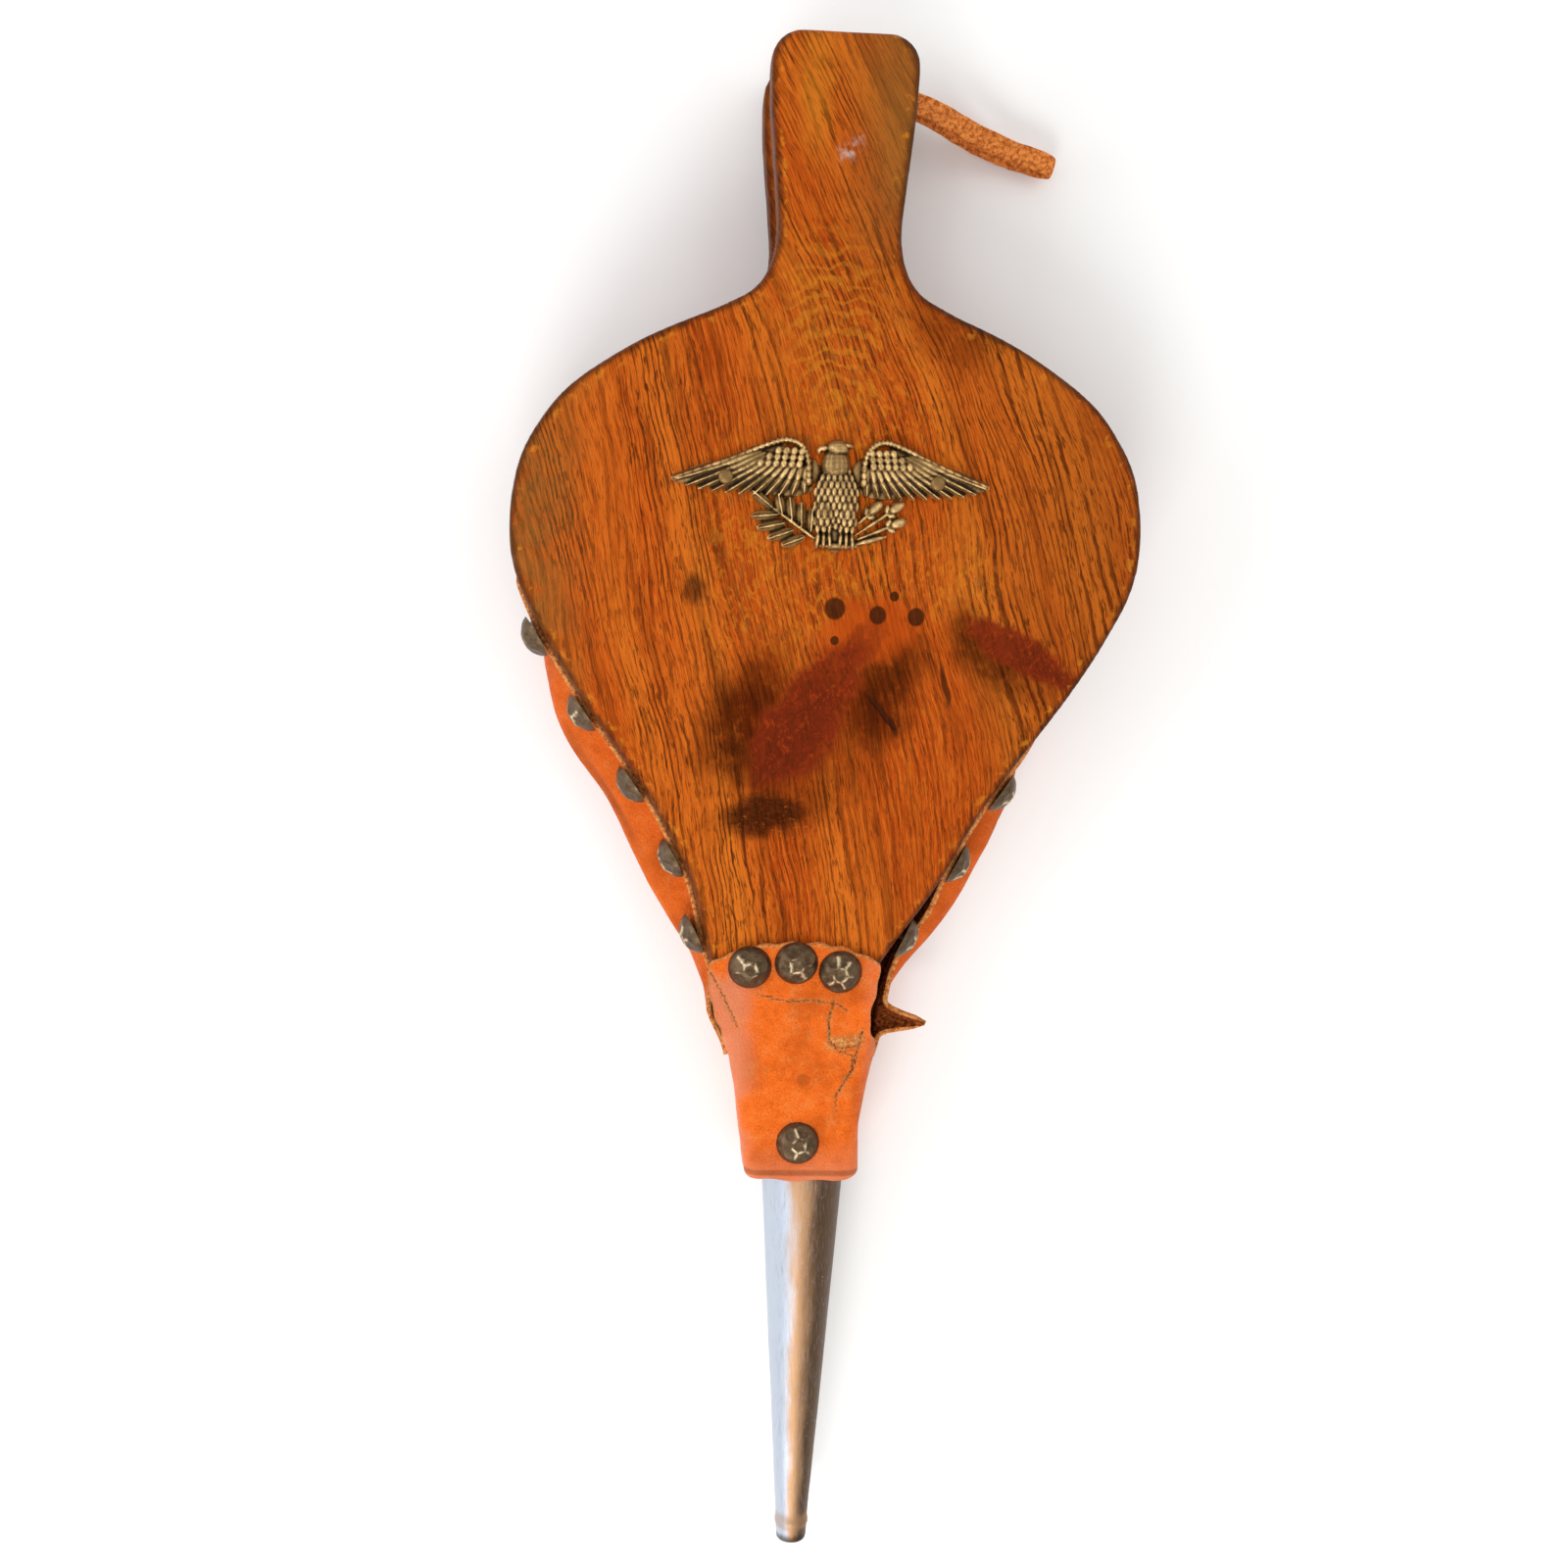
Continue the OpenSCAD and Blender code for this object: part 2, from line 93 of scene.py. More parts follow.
def linear(code):
    """The colour that a hex code names, as Blender's linear red, green and blue."""
    parts = [int(code[i : i + 2], 16) / 255 for i in (1, 3, 5)]
    return tuple(c / 12.92 if c <= 0.04045 else ((c + 0.055) / 1.055) ** 2.4 for c in parts)


def step(x, a, b):
    """A smooth rise from 0 at a to 1 at b."""
    t = min(1.0, max(0.0, (x - a) / (b - a)))
    return t * t * (3 - 2 * t)


def mix(a, b, t):
    return a + (b - a) * t


# ---- Settings ----


def colour(name, code, description):
    return bpy.props.FloatVectorProperty(
        name=name, description=description, subtype="COLOR", size=3, min=0, max=1, default=linear(code)
    )


def length(name, millimetres, description):
    return bpy.props.FloatProperty(
        name=name, description=description, default=millimetres * MM, unit="LENGTH", precision=4
    )


class WoodSettings(bpy.types.PropertyGroup):
    arris: length("Eased arris", 2.2, "How far the boards' arrises are rounded")
    voxel: length("Remesh size", 1.2, "Size of the cells that the boards are remeshed with")
    light: colour("Light wood", "#cf6c1f", "Lighter bands of the stained wood")
    middle: colour("Middle wood", "#b24610", "Common colour of the stained wood")
    dark: colour("Dark lines", "#5e2408", "Dark lines of the grain")
    pore: colour("Pores", "#35170a", "Short open pores")
    gold: colour("Ripple", "#d08022", "Golden ripples that cross the grain")
    burl: colour("Burl", "#78240f", "Smooth red wood of the burls")
    bark: colour("Shadow of a burl", "#7d5a28", "Greenish brown wood beside the burls")
    # Dark brown of the band along the boards' outline, and the deep tone of the leather's flesh side.
    dark_brown: colour("Grime", "#33190c", "Dirt along the arrises")


class LeatherSettings(bpy.types.PropertyGroup):
    thickness: length("Thickness", 1.5, "Thickness of the gusset and the collar")
    bulge: length("Bulge", 13, "How far the gusset stands out beside the front of the boards")
    fold: length("Fold depth", 26, "How deep the gusset folds in between the boards at the back")
    grain: colour("Grain side", "#ea6a20", "Smooth outer side")
    # Painted pinkish sheen towards the nozzle; the same pink is also laid in blotches on the collar's sides.
    rosy_sheen: colour("Rubbed", "#d8805c", "Rubbed and faded patches near the nozzle")
    stain: colour("Stained", "#b04a14", "Darker blotches and creases")
    raw: colour("Raw", "#e8a05c", "Cut edges and torn fibres")
    flesh: colour("Flesh side", "#a8521e", "Rough inner side")
    suede: colour("Suede", "#f4964a", "Hanging thong")


class MetalSettings(bpy.types.PropertyGroup):
    head_radius: length("Head radius", 6.2, "Radius of the hammered nail heads")
    head_height: length("Head height", 4.0, "Height of the hammered nail heads")
    bronze: colour("Bronze", "#5f4a34", "Dark antique finish of the nails")
    # Pale ridges of the nails: partly rubbed bronze, partly a painted highlight.
    worn_bronze_and_highlight: colour("Worn bronze", "#e8cfa6", "Ridges of the nails where the finish is rubbed off")
    brass: colour("Brass", "#8a6a3c", "Ornament")
    # Rubbed brass on the raised parts, together with a painted highlight.
    bright_brass_and_highlight: colour("Bright brass", "#e6bf80", "Raised parts of the ornament")
    # Also the painted shade on the nozzle's right side, besides soot and dark scratches.
    soot_and_shade: colour("Recess", "#2b1c0c", "Dark recesses of the ornament and the nails")
    # Its pale bluish tone on the nozzle's left is a painted window reflection; it also lightens the scratches.
    steel_and_reflection: colour("Nozzle", "#bfc6d2", "Bare metal of the nozzle")
    tarnish: colour("Tarnish", "#ad8560", "Brown tarnish on the nozzle")


class StageSettings(bpy.types.PropertyGroup):
    floor: colour("Floor", "#fbfaf8", "Plain pale floor")
    key: bpy.props.FloatProperty(name="Key light", description="Strength of the key light", default=4.6, unit="POWER")
    sky: bpy.props.FloatProperty(name="Sky", description="Strength of the even light all round", default=0.78)
    camera: bpy.props.FloatVectorProperty(
        name="Camera", description="Where the camera stands", default=(-0.0453, 0.0654, 0.5419), subtype="TRANSLATION"
    )
    turn: bpy.props.FloatVectorProperty(
        name="Camera turn", description="How the camera is turned",
        default=(-0.1011, -0.0667, 0.0294), subtype="EULER",
    )
    lens: bpy.props.FloatProperty(name="Lens", description="Focal length in millimetres", default=41.76)


# ---- Modelling helpers ----


def only(*objects):
    """Selects these objects and nothing else, and makes the first one active."""
    bpy.ops.object.select_all(action="DESELECT")
    for o in objects:
        o.select_set(True)
    bpy.context.view_layer.objects.active = objects[0]


@contextmanager
def editing(obj):
    """Edit mode on one object, with nothing selected at first."""
    only(obj)
    bpy.ops.object.mode_set(mode="EDIT")
    bpy.ops.mesh.select_all(action="DESELECT")
    yield
    bpy.ops.object.mode_set(mode="OBJECT")


def pick(obj, what, test):
    """In edit mode, selects the faces, edges or verts that pass the test."""
    bpy.ops.mesh.select_mode(type={"faces": "FACE", "edges": "EDGE", "verts": "VERT"}[what])
    bpy.ops.mesh.select_all(action="DESELECT")
    mesh = bmesh.from_edit_mesh(obj.data)
    for part in getattr(mesh, what):
        part.select_set(bool(test(part)))
    mesh.select_flush_mode()
    bmesh.update_edit_mesh(obj.data)


def add(primitive, name, **settings):
    """Adds a primitive by its operator's name, and gives back its object."""
    bpy.ops.object.select_all(action="DESELECT")
    getattr(bpy.ops.mesh, f"primitive_{primitive}_add")(**settings)
    made = bpy.context.active_object
    made.name = name
    return made


def modify(obj, kind, **settings):
    """Adds a modifier with these settings."""
    made = obj.modifiers.new(kind.title(), kind)
    for key, value in settings.items():
        setattr(made, key, value)
    return made


def apply_modifiers(obj):
    only(obj)
    for m in list(obj.modifiers):
        bpy.ops.object.modifier_apply(modifier=m.name)


def settle(obj):
    """Puts the object's place, turn and scale into its mesh."""
    only(obj)
    bpy.ops.object.transform_apply(location=True, rotation=True, scale=True)


def copied(obj, name):
    """A copy of an object with a mesh of its own."""
    made = obj.copy()
    made.data = obj.data.copy()
    made.name = name
    bpy.context.scene.collection.objects.link(made)
    return made


def joined(name, parts):
    only(*parts)
    if len(parts) > 1:
        bpy.ops.object.join()
    parts[0].name = name
    parts[0].data.name = name
    return parts[0]


def removed(*objects):
    for o in objects:
        bpy.data.objects.remove(o)


def cad_copy(name, *nodes):
    """A merged copy of CAD nodes, with their loose triangles joined into whole faces."""
    parts = []
    for n in nodes:
        part = copied(frame["nodes"][n], name)
        part.parent = None
        part.matrix_world = Matrix.Identity(4)
        for key in list(part.keys()):
            del part[key]
        parts.append(part)
    made = joined(name, parts)
    with editing(made):
        bpy.ops.mesh.select_all(action="SELECT")
        bpy.ops.mesh.remove_doubles(threshold=0.01 * MM)
        bpy.ops.mesh.dissolve_limited(angle_limit=math.radians(1))
    return made


def sculpt(obj, shift):
    """Moves each point of the mesh by what shift(place, normal) gives."""
    normals = [v.normal.copy() for v in obj.data.vertices]
    for v, normal in zip(obj.data.vertices, normals):
        v.co += shift(v.co, normal)
    obj.data.update()


def sheet_of(name, rows, closed=False):
    """A sheet made of rows of points. Closed joins the end of each row to its start."""
    n = len(rows[0])
    points = [p for row in rows for p in row]
    across = range(n if closed else n - 1)
    faces = [
        (i * n + k, i * n + (k + 1) % n, (i + 1) * n + (k + 1) % n, (i + 1) * n + k)
        for i in range(len(rows) - 1)
        for k in across
    ]
    mesh = bpy.data.meshes.new(name)
    mesh.from_pydata(points, [], faces)
    made = bpy.data.objects.new(name, mesh)
    bpy.context.scene.collection.objects.link(made)
    return made


def mark(obj, name, values):
    """Keeps one number for each point of the mesh, which a material reads."""
    attribute = obj.data.attributes.new(name, "FLOAT", "POINT")
    attribute.data.foreach_set("value", values)


def relief_of(obj, rounds):
    """How far each point stands above the surface round it, from the mesh blurred this many times."""
    mesh = obj.data
    count = len(mesh.vertices)
    edges = np.empty(2 * len(mesh.edges), dtype=np.int64)
    mesh.edges.foreach_get("vertices", edges)
    a, b = edges[0::2], edges[1::2]
    place = np.empty(3 * count)
    mesh.vertices.foreach_get("co", place)
    place = place.reshape(-1, 3)
    neighbours = np.bincount(a, minlength=count) + np.bincount(b, minlength=count)
    blurred = place.copy()
    for _ in range(rounds):
        total = np.stack(
            [np.bincount(a, blurred[b, k], count) + np.bincount(b, blurred[a, k], count) for k in range(3)], axis=1
        )
        blurred = 0.5 * blurred + 0.5 * total / np.maximum(neighbours, 1)[:, None]
    normals = np.empty(3 * count)
    mesh.vertex_normals.foreach_get("vector", normals)
    return ((place - blurred) * normals.reshape(-1, 3)).sum(axis=1)


def smooth(obj, degrees=180):
    only(obj)
    if degrees >= 180:
        bpy.ops.object.shade_smooth()
    else:
        bpy.ops.object.shade_smooth_by_angle(angle=math.radians(degrees))


def hand_over(obj, materials, slot, body, *nodes):
    """Gives a finished piece its materials, its body and the CAD nodes that it stands for. The slot is not used."""
    obj.data.materials.clear()
    for m in materials:
        obj.data.materials.append(m)
    if body:
        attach(obj, body)
    if nodes:
        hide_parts(*nodes)
    return obj


def rough(place, size, seed=0.0):
    """Smooth noise between about -1 and 1, with features of this size in metres."""
    return noise.noise(place / size + Vector((seed, seed * 1.7, -seed)))


# ---- Outlines taken from the frame ----


def drift(y):
    """How far the boards' front end and the nose lie to the left at y, in metres."""
    y = y / MM
    return (-5.6 * step(y, -8, -44) + 3.3 * step(y, -50, -64) + step(y, -84, -98.5)) * MM


def unique_sorted(points):
    kept = []
    for p in sorted(points, key=lambda q: q[1]):
        if not kept or p[1] - kept[-1][1] > 0.3 * MM:
            kept.append(p)
    return kept


def right_edge(node, to_board):
    """Right-hand outline of a board as (x, y) from its front to its handle's end, seen from above."""
    flat = [to_board @ v.co for v in frame["nodes"][node].data.vertices]
    top = max(p.z for p in flat)
    return [(p.x - drift(p.y), p.y) for p in flat if p.x > drift(p.y) and p.z > top - 0.01 * MM]


UPPER_EDGE = unique_sorted(right_edge("upper_board", UPPER_INV))


def at_y(edge, y):
    """Half width of an outline at y."""
    if y <= edge[0][1]:
        return edge[0][0]
    for (x0, y0), (x1, y1) in zip(edge, edge[1:]):
        if y <= y1:
            return mix(x0, x1, (y - y0) / (y1 - y0))
    return edge[-1][0]


# The holes in the lower board lie well inside its outline.
LOWER_EDGE = unique_sorted(
    p for p in right_edge("lower_board", Matrix.Identity(4)) if p[0] > 0.7 * at_y(UPPER_EDGE, p[1])
)


def rim_distance(p):
    """Rough distance of a point on a board from the board's outline, for the darker band along its edge."""
    x = abs(p[0] - drift(p[1]))
    best = 1.0
    for (x0, y0), (x1, y1) in zip(UPPER_EDGE[::2], UPPER_EDGE[2::2]):
        dx, dy = x1 - x0, y1 - y0
        t = min(1.0, max(0.0, ((x - x0) * dx + (p[1] - y0) * dy) / (dx * dx + dy * dy)))
        best = min(best, math.hypot(x - x0 - t * dx, p[1] - y0 - t * dy))
    return best


# ---- Materials ----

# The marks on the boards are laid out from a line this far to the right of the boards' axis, in millimetres.
MARKS_X = -1.9


class Recipe:
    """A material in the making. Each call adds a node and gives back its output."""

    def __init__(self, name):
        self.material = bpy.data.materials.new(name)
        self.material.use_nodes = True
        self.tree = self.material.node_tree
        self.shader = self.tree.nodes["Principled BSDF"]

    def add(self, kind, out, inputs, **settings):
        made = self.tree.nodes.new("ShaderNode" + kind)
        for key, value in settings.items():
            setattr(made, key, value)
        for key, value in inputs.items():
            self.put(made.inputs[key], value)
        return made.outputs[out]

    def put(self, socket, value):
        if isinstance(value, bpy.types.NodeSocket):
            self.tree.links.new(value, socket)
        elif socket.type == "RGBA":
            socket.default_value = (*value, 1.0)
        else:
            socket.default_value = value

    def millimetres(self):
        """Object coordinates in millimetres."""
        place = self.add("TexCoord", "Object", {})
        return self.add("VectorMath", "Vector", {0: place, 1: (1000, 1000, 1000)}, operation="MULTIPLY")

    def split(self, vector):
        made = self.tree.nodes.new("ShaderNodeSeparateXYZ")
        self.put(made.inputs[0], vector)
        return made.outputs

    def join(self, x, y, z):
        return self.add("CombineXYZ", 0, {0: x, 1: y, 2: z})

    def math(self, operation, a, b=0.0, c=0.0, clamp=False):
        return self.add("Math", 0, {0: a, 1: b, 2: c}, operation=operation, use_clamp=clamp)

    def scaled(self, vector, scale):
        return self.add("VectorMath", "Vector", {0: vector, 1: scale}, operation="MULTIPLY")

    def moved(self, a, b):
        return self.add("VectorMath", "Vector", {0: a, 1: b}, operation="ADD")

    def noise(self, vector, scale=1.0, detail=2.0, roughness=0.5, distortion=0.0):
        inputs = {
            "Vector": vector, "Scale": scale, "Detail": detail, "Roughness": roughness, "Distortion": distortion
        }
        return self.add("TexNoise", "Fac", inputs)

    def cells(self, vector, scale=1.0, out="Distance"):
        return self.add("TexVoronoi", out, {"Vector": vector, "Scale": scale})

    def between(self, value, low, high, to_low=0.0, to_high=1.0):
        """Smooth step from low to high; low may be the larger."""
        if low > high:
            low, high, to_low, to_high = high, low, to_high, to_low
        inputs = {"Value": value, "From Min": low, "From Max": high, "To Min": to_low, "To Max": to_high}
        return self.add("MapRange", 0, inputs, interpolation_type="SMOOTHSTEP")

    def blend(self, factor, a, b, kind="MIX"):
        return self.add("Mix", 2, {0: factor, 6: a, 7: b}, data_type="RGBA", blend_type=kind)

    def attribute(self, name):
        return self.add("Attribute", "Fac", {}, attribute_name=name)

    def spot(self, place, at, size, turn=0.0, soft=0.3):
        """1 inside an ellipse on the board and 0 outside, with a soft rim."""
        inputs = {
            "Vector": place,
            "Location": (at[0] + MARKS_X, at[1], 0),
            "Rotation": (0, 0, math.radians(turn)),
            "Scale": (*size, 1e6),
        }
        inside = self.add("Mapping", 0, inputs, vector_type="TEXTURE")
        far = self.add("VectorMath", "Value", {0: inside}, operation="LENGTH")
        return self.between(far, 1 + soft, 1 - soft)

    def bump(self, height, distance, strength=1.0, normal=None):
        """Bump of this many millimetres."""
        inputs = {"Height": height, "Distance": distance * MM, "Strength": strength}
        if normal is not None:
            inputs["Normal"] = normal
        return self.add("Bump", 0, inputs)

    def finish(self, **sockets):
        for key, value in sockets.items():
            self.put(self.shader.inputs[key.replace("_", " ")], value)
        return self.material


def grain_of(r, place):
    """Coordinates along and across the wood's grain, which leans to the right and turns steeply in the handle."""
    x, y, z = r.split(place)
    start = r.math("MULTIPLY_ADD", x, 0.4, -128.0)
    past = r.math("SMOOTH_MAX", r.math("ADD", y, start), 0.0, 40.0)
    across = r.math("MULTIPLY_ADD", y, 0.19, x)
    across = r.math("MULTIPLY_ADD", past, 0.5, across)
    sway = r.noise(place, 0.011, 1.5, 0.5)
    across = r.math("MULTIPLY_ADD", sway, 16.0, across)
    wiggle = r.noise(place, 0.09, 2.0, 0.5)
    across = r.math("MULTIPLY_ADD", wiggle, 1.6, across)
    return r.join(across, y, z)


def growth_lines(r, grain):
    """Dark lines of the growth rings, broken into dashes. Gives the lines and how strong they are here."""
    u, v, w = r.split(grain)
    wander = r.noise(r.scaled(grain, (0.05, 0.006, 0.05)), 1, 2, 0.5)
    phase = r.math("MULTIPLY_ADD", wander, 11.0, r.math("MULTIPLY", u, 0.5))
    ring = r.math("SINE", r.math("MULTIPLY", phase, 2 * math.pi))
    ragged = r.noise(r.scaled(grain, (3.4, 0.22, 1.5)), 1, 3, 0.65)
    ring = r.math("MULTIPLY_ADD", ragged, 2.2, r.math("ADD", ring, -1.1))
    breaks = r.noise(r.scaled(grain, (0.5, 0.018, 0.4)), 1, 3, 0.65)
    strong = r.noise(r.scaled(grain, (0.045, 0.008, 0.05)), 1, 2, 0.5)
    line = r.math("MULTIPLY", r.between(ring, 0.3, 0.85), r.between(breaks, 0.38, 0.56))
    return r.math("MULTIPLY", line, r.between(strong, 0.36, 0.6, 0.45, 1.0)), strong


def wood_material(name, s, marks):
    """Stained wood: broad bands, dark lines, short pores; marks adds the burls and knots of the upper board."""
    r = Recipe(name)
    place = r.millimetres()
    x, y, z = r.split(place)
    grain = grain_of(r, place)
    bands = r.noise(r.scaled(grain, (0.05, 0.004, 0.04)), 1, 2, 0.5)
    colour = r.blend(r.between(bands, 0.35, 0.68), s.middle, s.light)
    fibres = r.noise(r.scaled(grain, (3.0, 0.09, 1.4)), 1, 4, 0.7)
    colour = r.blend(r.between(fibres, 0.44, 0.66, 0.0, 0.75), colour, s.light)
    colour = r.blend(r.between(fibres, 0.5, 0.32, 0.0, 0.65), colour, s.dark)
    streaks = r.noise(r.scaled(grain, (0.22, 0.012, 0.1)), 1, 3, 0.6)
    colour = r.blend(r.between(streaks, 0.5, 0.72, 0.0, 0.55), colour, s.dark)
    line, strong = growth_lines(r, grain)
    colour = r.blend(r.math("MULTIPLY", line, 0.9), colour, s.dark)
    pores = r.noise(r.scaled(grain, (2.2, 0.22, 1.6)), 1, 2, 0.55)
    pore = r.math("MULTIPLY", r.between(pores, 0.58, 0.68), r.between(strong, 0.35, 0.6, 0.5, 1.0))
    colour = r.blend(r.math("MULTIPLY", pore, 0.75), colour, s.pore)
    right = r.between(x, 20, 75)
    handle = r.math("MULTIPLY", r.between(y, 128, 165), r.between(x, -16, 22))
    colour = r.blend(r.math("MULTIPLY", r.math("MAXIMUM", right, handle), 0.34), colour, s.dark)
    relief = r.math("MULTIPLY_ADD", line, -0.9, fibres)
    relief = r.math("MULTIPLY_ADD", pore, -0.9, relief)
    gloss = r.between(fibres, 0.3, 0.7, 0.4, 0.55)

    if marks:
        wave = r.add("TexNoise", "Color", {"Vector": place, "Scale": 0.13, "Detail": 3.0})
        shaken = r.moved(place, r.scaled(r.moved(wave, (-0.5, -0.5, -0.5)), (8, 8, 0)))
        colour, relief = ripples(r, s, shaken, grain, colour, relief)
        colour, relief = burls(r, s, place, shaken, colour, relief)
        left = r.math("MULTIPLY", r.between(x, -58, -84), r.between(r.noise(grain, 0.12, 2), 0.3, 0.6, 0.4, 1.0))
        colour = r.blend(r.math("MULTIPLY", left, 0.6), colour, s.bark)

    # A darker band along the boards' outline, and golden rubbed flecks just inside it.
    edge = r.attribute("rim")
    ragged = r.math("MULTIPLY_ADD", r.noise(place, 0.25, 3), 2.4, -1.2)
    close = r.between(r.math("ADD", edge, ragged), 2.6, 0.5)
    colour = r.blend(r.math("MULTIPLY", close, 0.75), colour, s.dark_brown)
    rubbed = r.math("MULTIPLY", r.between(r.math("ADD", edge, ragged), 1.2, 2.2), r.between(edge, 5.0, 2.0))
    rubbed = r.math("MULTIPLY", rubbed, r.between(r.noise(place, 0.3, 3), 0.56, 0.66))
    colour = r.blend(r.math("MULTIPLY", rubbed, 0.6), colour, s.gold)
    return r.finish(
        Base_Color=colour,
        Roughness=gloss,
        Specular_IOR_Level=0.22,
        Specular_Tint=s.gold,
        Normal=r.bump(relief, 0.3, 0.9),
    )


def ripples(r, s, shaken, grain, colour, relief):
    """Golden ripples across the grain, under and round the ornament and at the neck."""
    area = r.spot(shaken, (-8, 78), (27, 34), 8, 0.5)
    for at, size, turn in (((2, 138), (17, 26), 5), ((34, 74), (16, 12), -25), ((10, 112), (20, 20), 0)):
        area = r.math("MAXIMUM", area, r.spot(shaken, at, size, turn, 0.5))
    fleck = r.noise(r.scaled(grain, (0.5, 0.28, 0.5)), 1, 3, 0.6, 0.8)
    bright = r.math("MULTIPLY", r.between(fleck, 0.48, 0.66), area)
    shade = r.math("MULTIPLY", r.between(fleck, 0.45, 0.33), area)
    colour = r.blend(r.math("MULTIPLY", bright, 0.45), colour, s.gold)
    colour = r.blend(r.math("MULTIPLY", shade, 0.4), colour, s.bark)
    arches = r.add(
        "TexWave", "Fac",
        {
            "Vector": r.moved(shaken, (0, -120, 0)), "Scale": 0.075, "Distortion": 5.0,
            "Detail": 2.0, "Detail Scale": 1.5,
        },
        wave_type="RINGS", rings_direction="Z",
    )
    neck = r.spot(shaken, (1, 140), (13, 24), 4, 0.4)
    colour = r.blend(r.math("MULTIPLY", r.math("MULTIPLY", r.between(arches, 0.6, 0.95), neck), 0.35), colour, s.gold)
    relief = r.math("MULTIPLY_ADD", r.math("MULTIPLY", fleck, area), 1.6, relief)
    return colour, relief


def burls(r, s, place, shaken, colour, relief):
    """Two red burls with brown shadows beside them, a torn knot, pin knots, a smooth patch and short cracks."""
    x, y, z = r.split(place)
    mottle = r.noise(place, 0.3, 3, 0.6)
    shadows = (
        ((-20, 34), (9, 17), -30, 0.95), ((-15, 20), (8, 8), 0, 0.7), ((16, 37), (10, 9), 30, 0.9),
        ((22, 50), (9, 7), 30, 0.75), ((49, 50), (12, 5.5), -35, 0.8), ((42, 60), (4, 6), 20, 0.7),
        ((35, 139), (12, 9), -30, 0.5), ((-12, 6), (16, 5), 10, 0.5), ((2, 18), (18, 9), 30, 0.4),
    )
    for at, size, turn, amount in shadows:
        mask = r.math("MULTIPLY", r.spot(shaken, at, size, turn, 0.7), r.between(mottle, 0.2, 0.55, 0.5, 1.0))
        colour = r.blend(r.math("MULTIPLY", mask, amount), colour, r.blend(1.0, colour, s.bark, "MULTIPLY"))
        colour = r.blend(r.math("MULTIPLY", mask, 0.3 * amount), colour, s.pore)
    patch = r.spot(shaken, (14, 58), (13, 8), 20, 0.35)
    colour = r.blend(r.math("MULTIPLY", patch, 0.85), colour, s.middle)
    red = r.blend(r.between(mottle, 0.45, 0.8, 0.0, 0.3), s.burl, s.middle)
    veins = r.noise(r.scaled(shaken, (0.5, 0.3, 0.3)), 1, 4, 0.65, 1.8)
    red = r.blend(r.between(veins, 0.5, 0.62, 0.0, 0.75), red, s.dark)
    red = r.blend(r.between(veins, 0.44, 0.34, 0.0, 0.45), red, s.middle)
    for at, size, turn, amount in (
        ((-2, 36), (24, 8.5), 55, 0.95), ((-5, 29), (15, 10.5), 50, 0.95), ((57, 53.5), (18, 5), -29, 0.95),
        ((12, 54), (8, 4), 50, 0.5),
    ):
        inside = r.spot(shaken, at, size, turn, 0.22)
        colour = r.blend(r.math("MULTIPLY", inside, amount), colour, red)
        relief = r.math("MULTIPLY_ADD", r.math("MULTIPLY", inside, veins), -1.5, relief)
    for at, size, turn, amount in (
        ((-5, 31), (15, 5.5), 55, 0.75), ((62, 51), (11, 3), -30, 0.8), ((-12, 20), (6, 4), 50, 0.6),
    ):
        deep = r.math("MULTIPLY", r.spot(shaken, at, size, turn, 0.6), r.between(veins, 0.36, 0.56))
        colour = r.blend(r.math("MULTIPLY", deep, amount), colour, r.blend(0.45, s.burl, s.pore))
    jagged = r.noise(r.scaled(place, (0.55, 0.9, 1)), 1, 4, 0.7, 0.8)
    torn = r.spot(r.moved(place, r.scaled(r.moved(shaken, r.scaled(place, (-1, -1, -1))), (1.2, 1.2, 0))),
                  (-13, 6.5), (10, 5.5), 12, 0.35)
    colour = r.blend(r.math("MULTIPLY", torn, 0.8), colour, r.blend(r.between(jagged, 0.42, 0.66), s.pore, s.dark))
    flecks = r.math("MULTIPLY", r.spot(shaken, (-11, 3), (15, 9), 12, 0.4), r.between(jagged, 0.62, 0.7))
    colour = r.blend(r.math("MULTIPLY", flecks, 0.7), colour, s.gold)
    relief = r.math("MULTIPLY_ADD", r.math("MULTIPLY", torn, jagged), 5.0, relief)
    pin_knots = (
        ((4.2, 64.3), 2.9), ((16.2, 62.8), 2.4), ((20.6, 68.1), 1.3), ((26.9, 62.6), 2.4), ((4.5, 55.5), 1.2),
    )
    for at, radius in pin_knots:
        knot = r.spot(place, at, (radius, radius * 1.06), 0, 0.14)
        colour = r.blend(r.math("MULTIPLY", knot, 0.9), colour, s.pore)
    colour = r.blend(r.math("MULTIPLY", r.spot(shaken, (-35.1, 68.6), (3, 3.4), 0, 0.6), 0.7), colour, s.pore)
    for at, size, turn in (((36, 44), (0.7, 6), 14), ((18.5, 36), (0.7, 6.5), 42), ((22, 32), (0.6, 3), 20)):
        crack = r.spot(r.moved(place, r.scaled(r.moved(shaken, r.scaled(place, (-1, -1, -1))), (0.3, 0.3, 0))),
                       at, size, turn, 0.4)
        colour = r.blend(r.math("MULTIPLY", crack, 0.8), colour, s.pore)
        relief = r.math("MULTIPLY_ADD", crack, -3.0, relief)
    colour = r.blend(r.math("MULTIPLY", r.spot(shaken, (-6, 201), (4, 14), 0, 0.7), 0.4), colour, s.gold)
    handle = r.math("MULTIPLY", r.between(y, 150, 178), r.between(x, -2, 16))
    colour = r.blend(r.math("MULTIPLY", handle, 0.5), colour, s.bark)
    # Painted sheen: a small pale greyish patch on the handle.
    handle_sheen = r.math("MULTIPLY", r.spot(shaken, (3.7, 184.8), (3.2, 2.4), 30, 0.6), r.between(mottle, 0.4, 0.6))
    colour = r.blend(r.math("MULTIPLY", handle_sheen, 0.7), colour, (0.6, 0.4, 0.33))
    return colour, relief


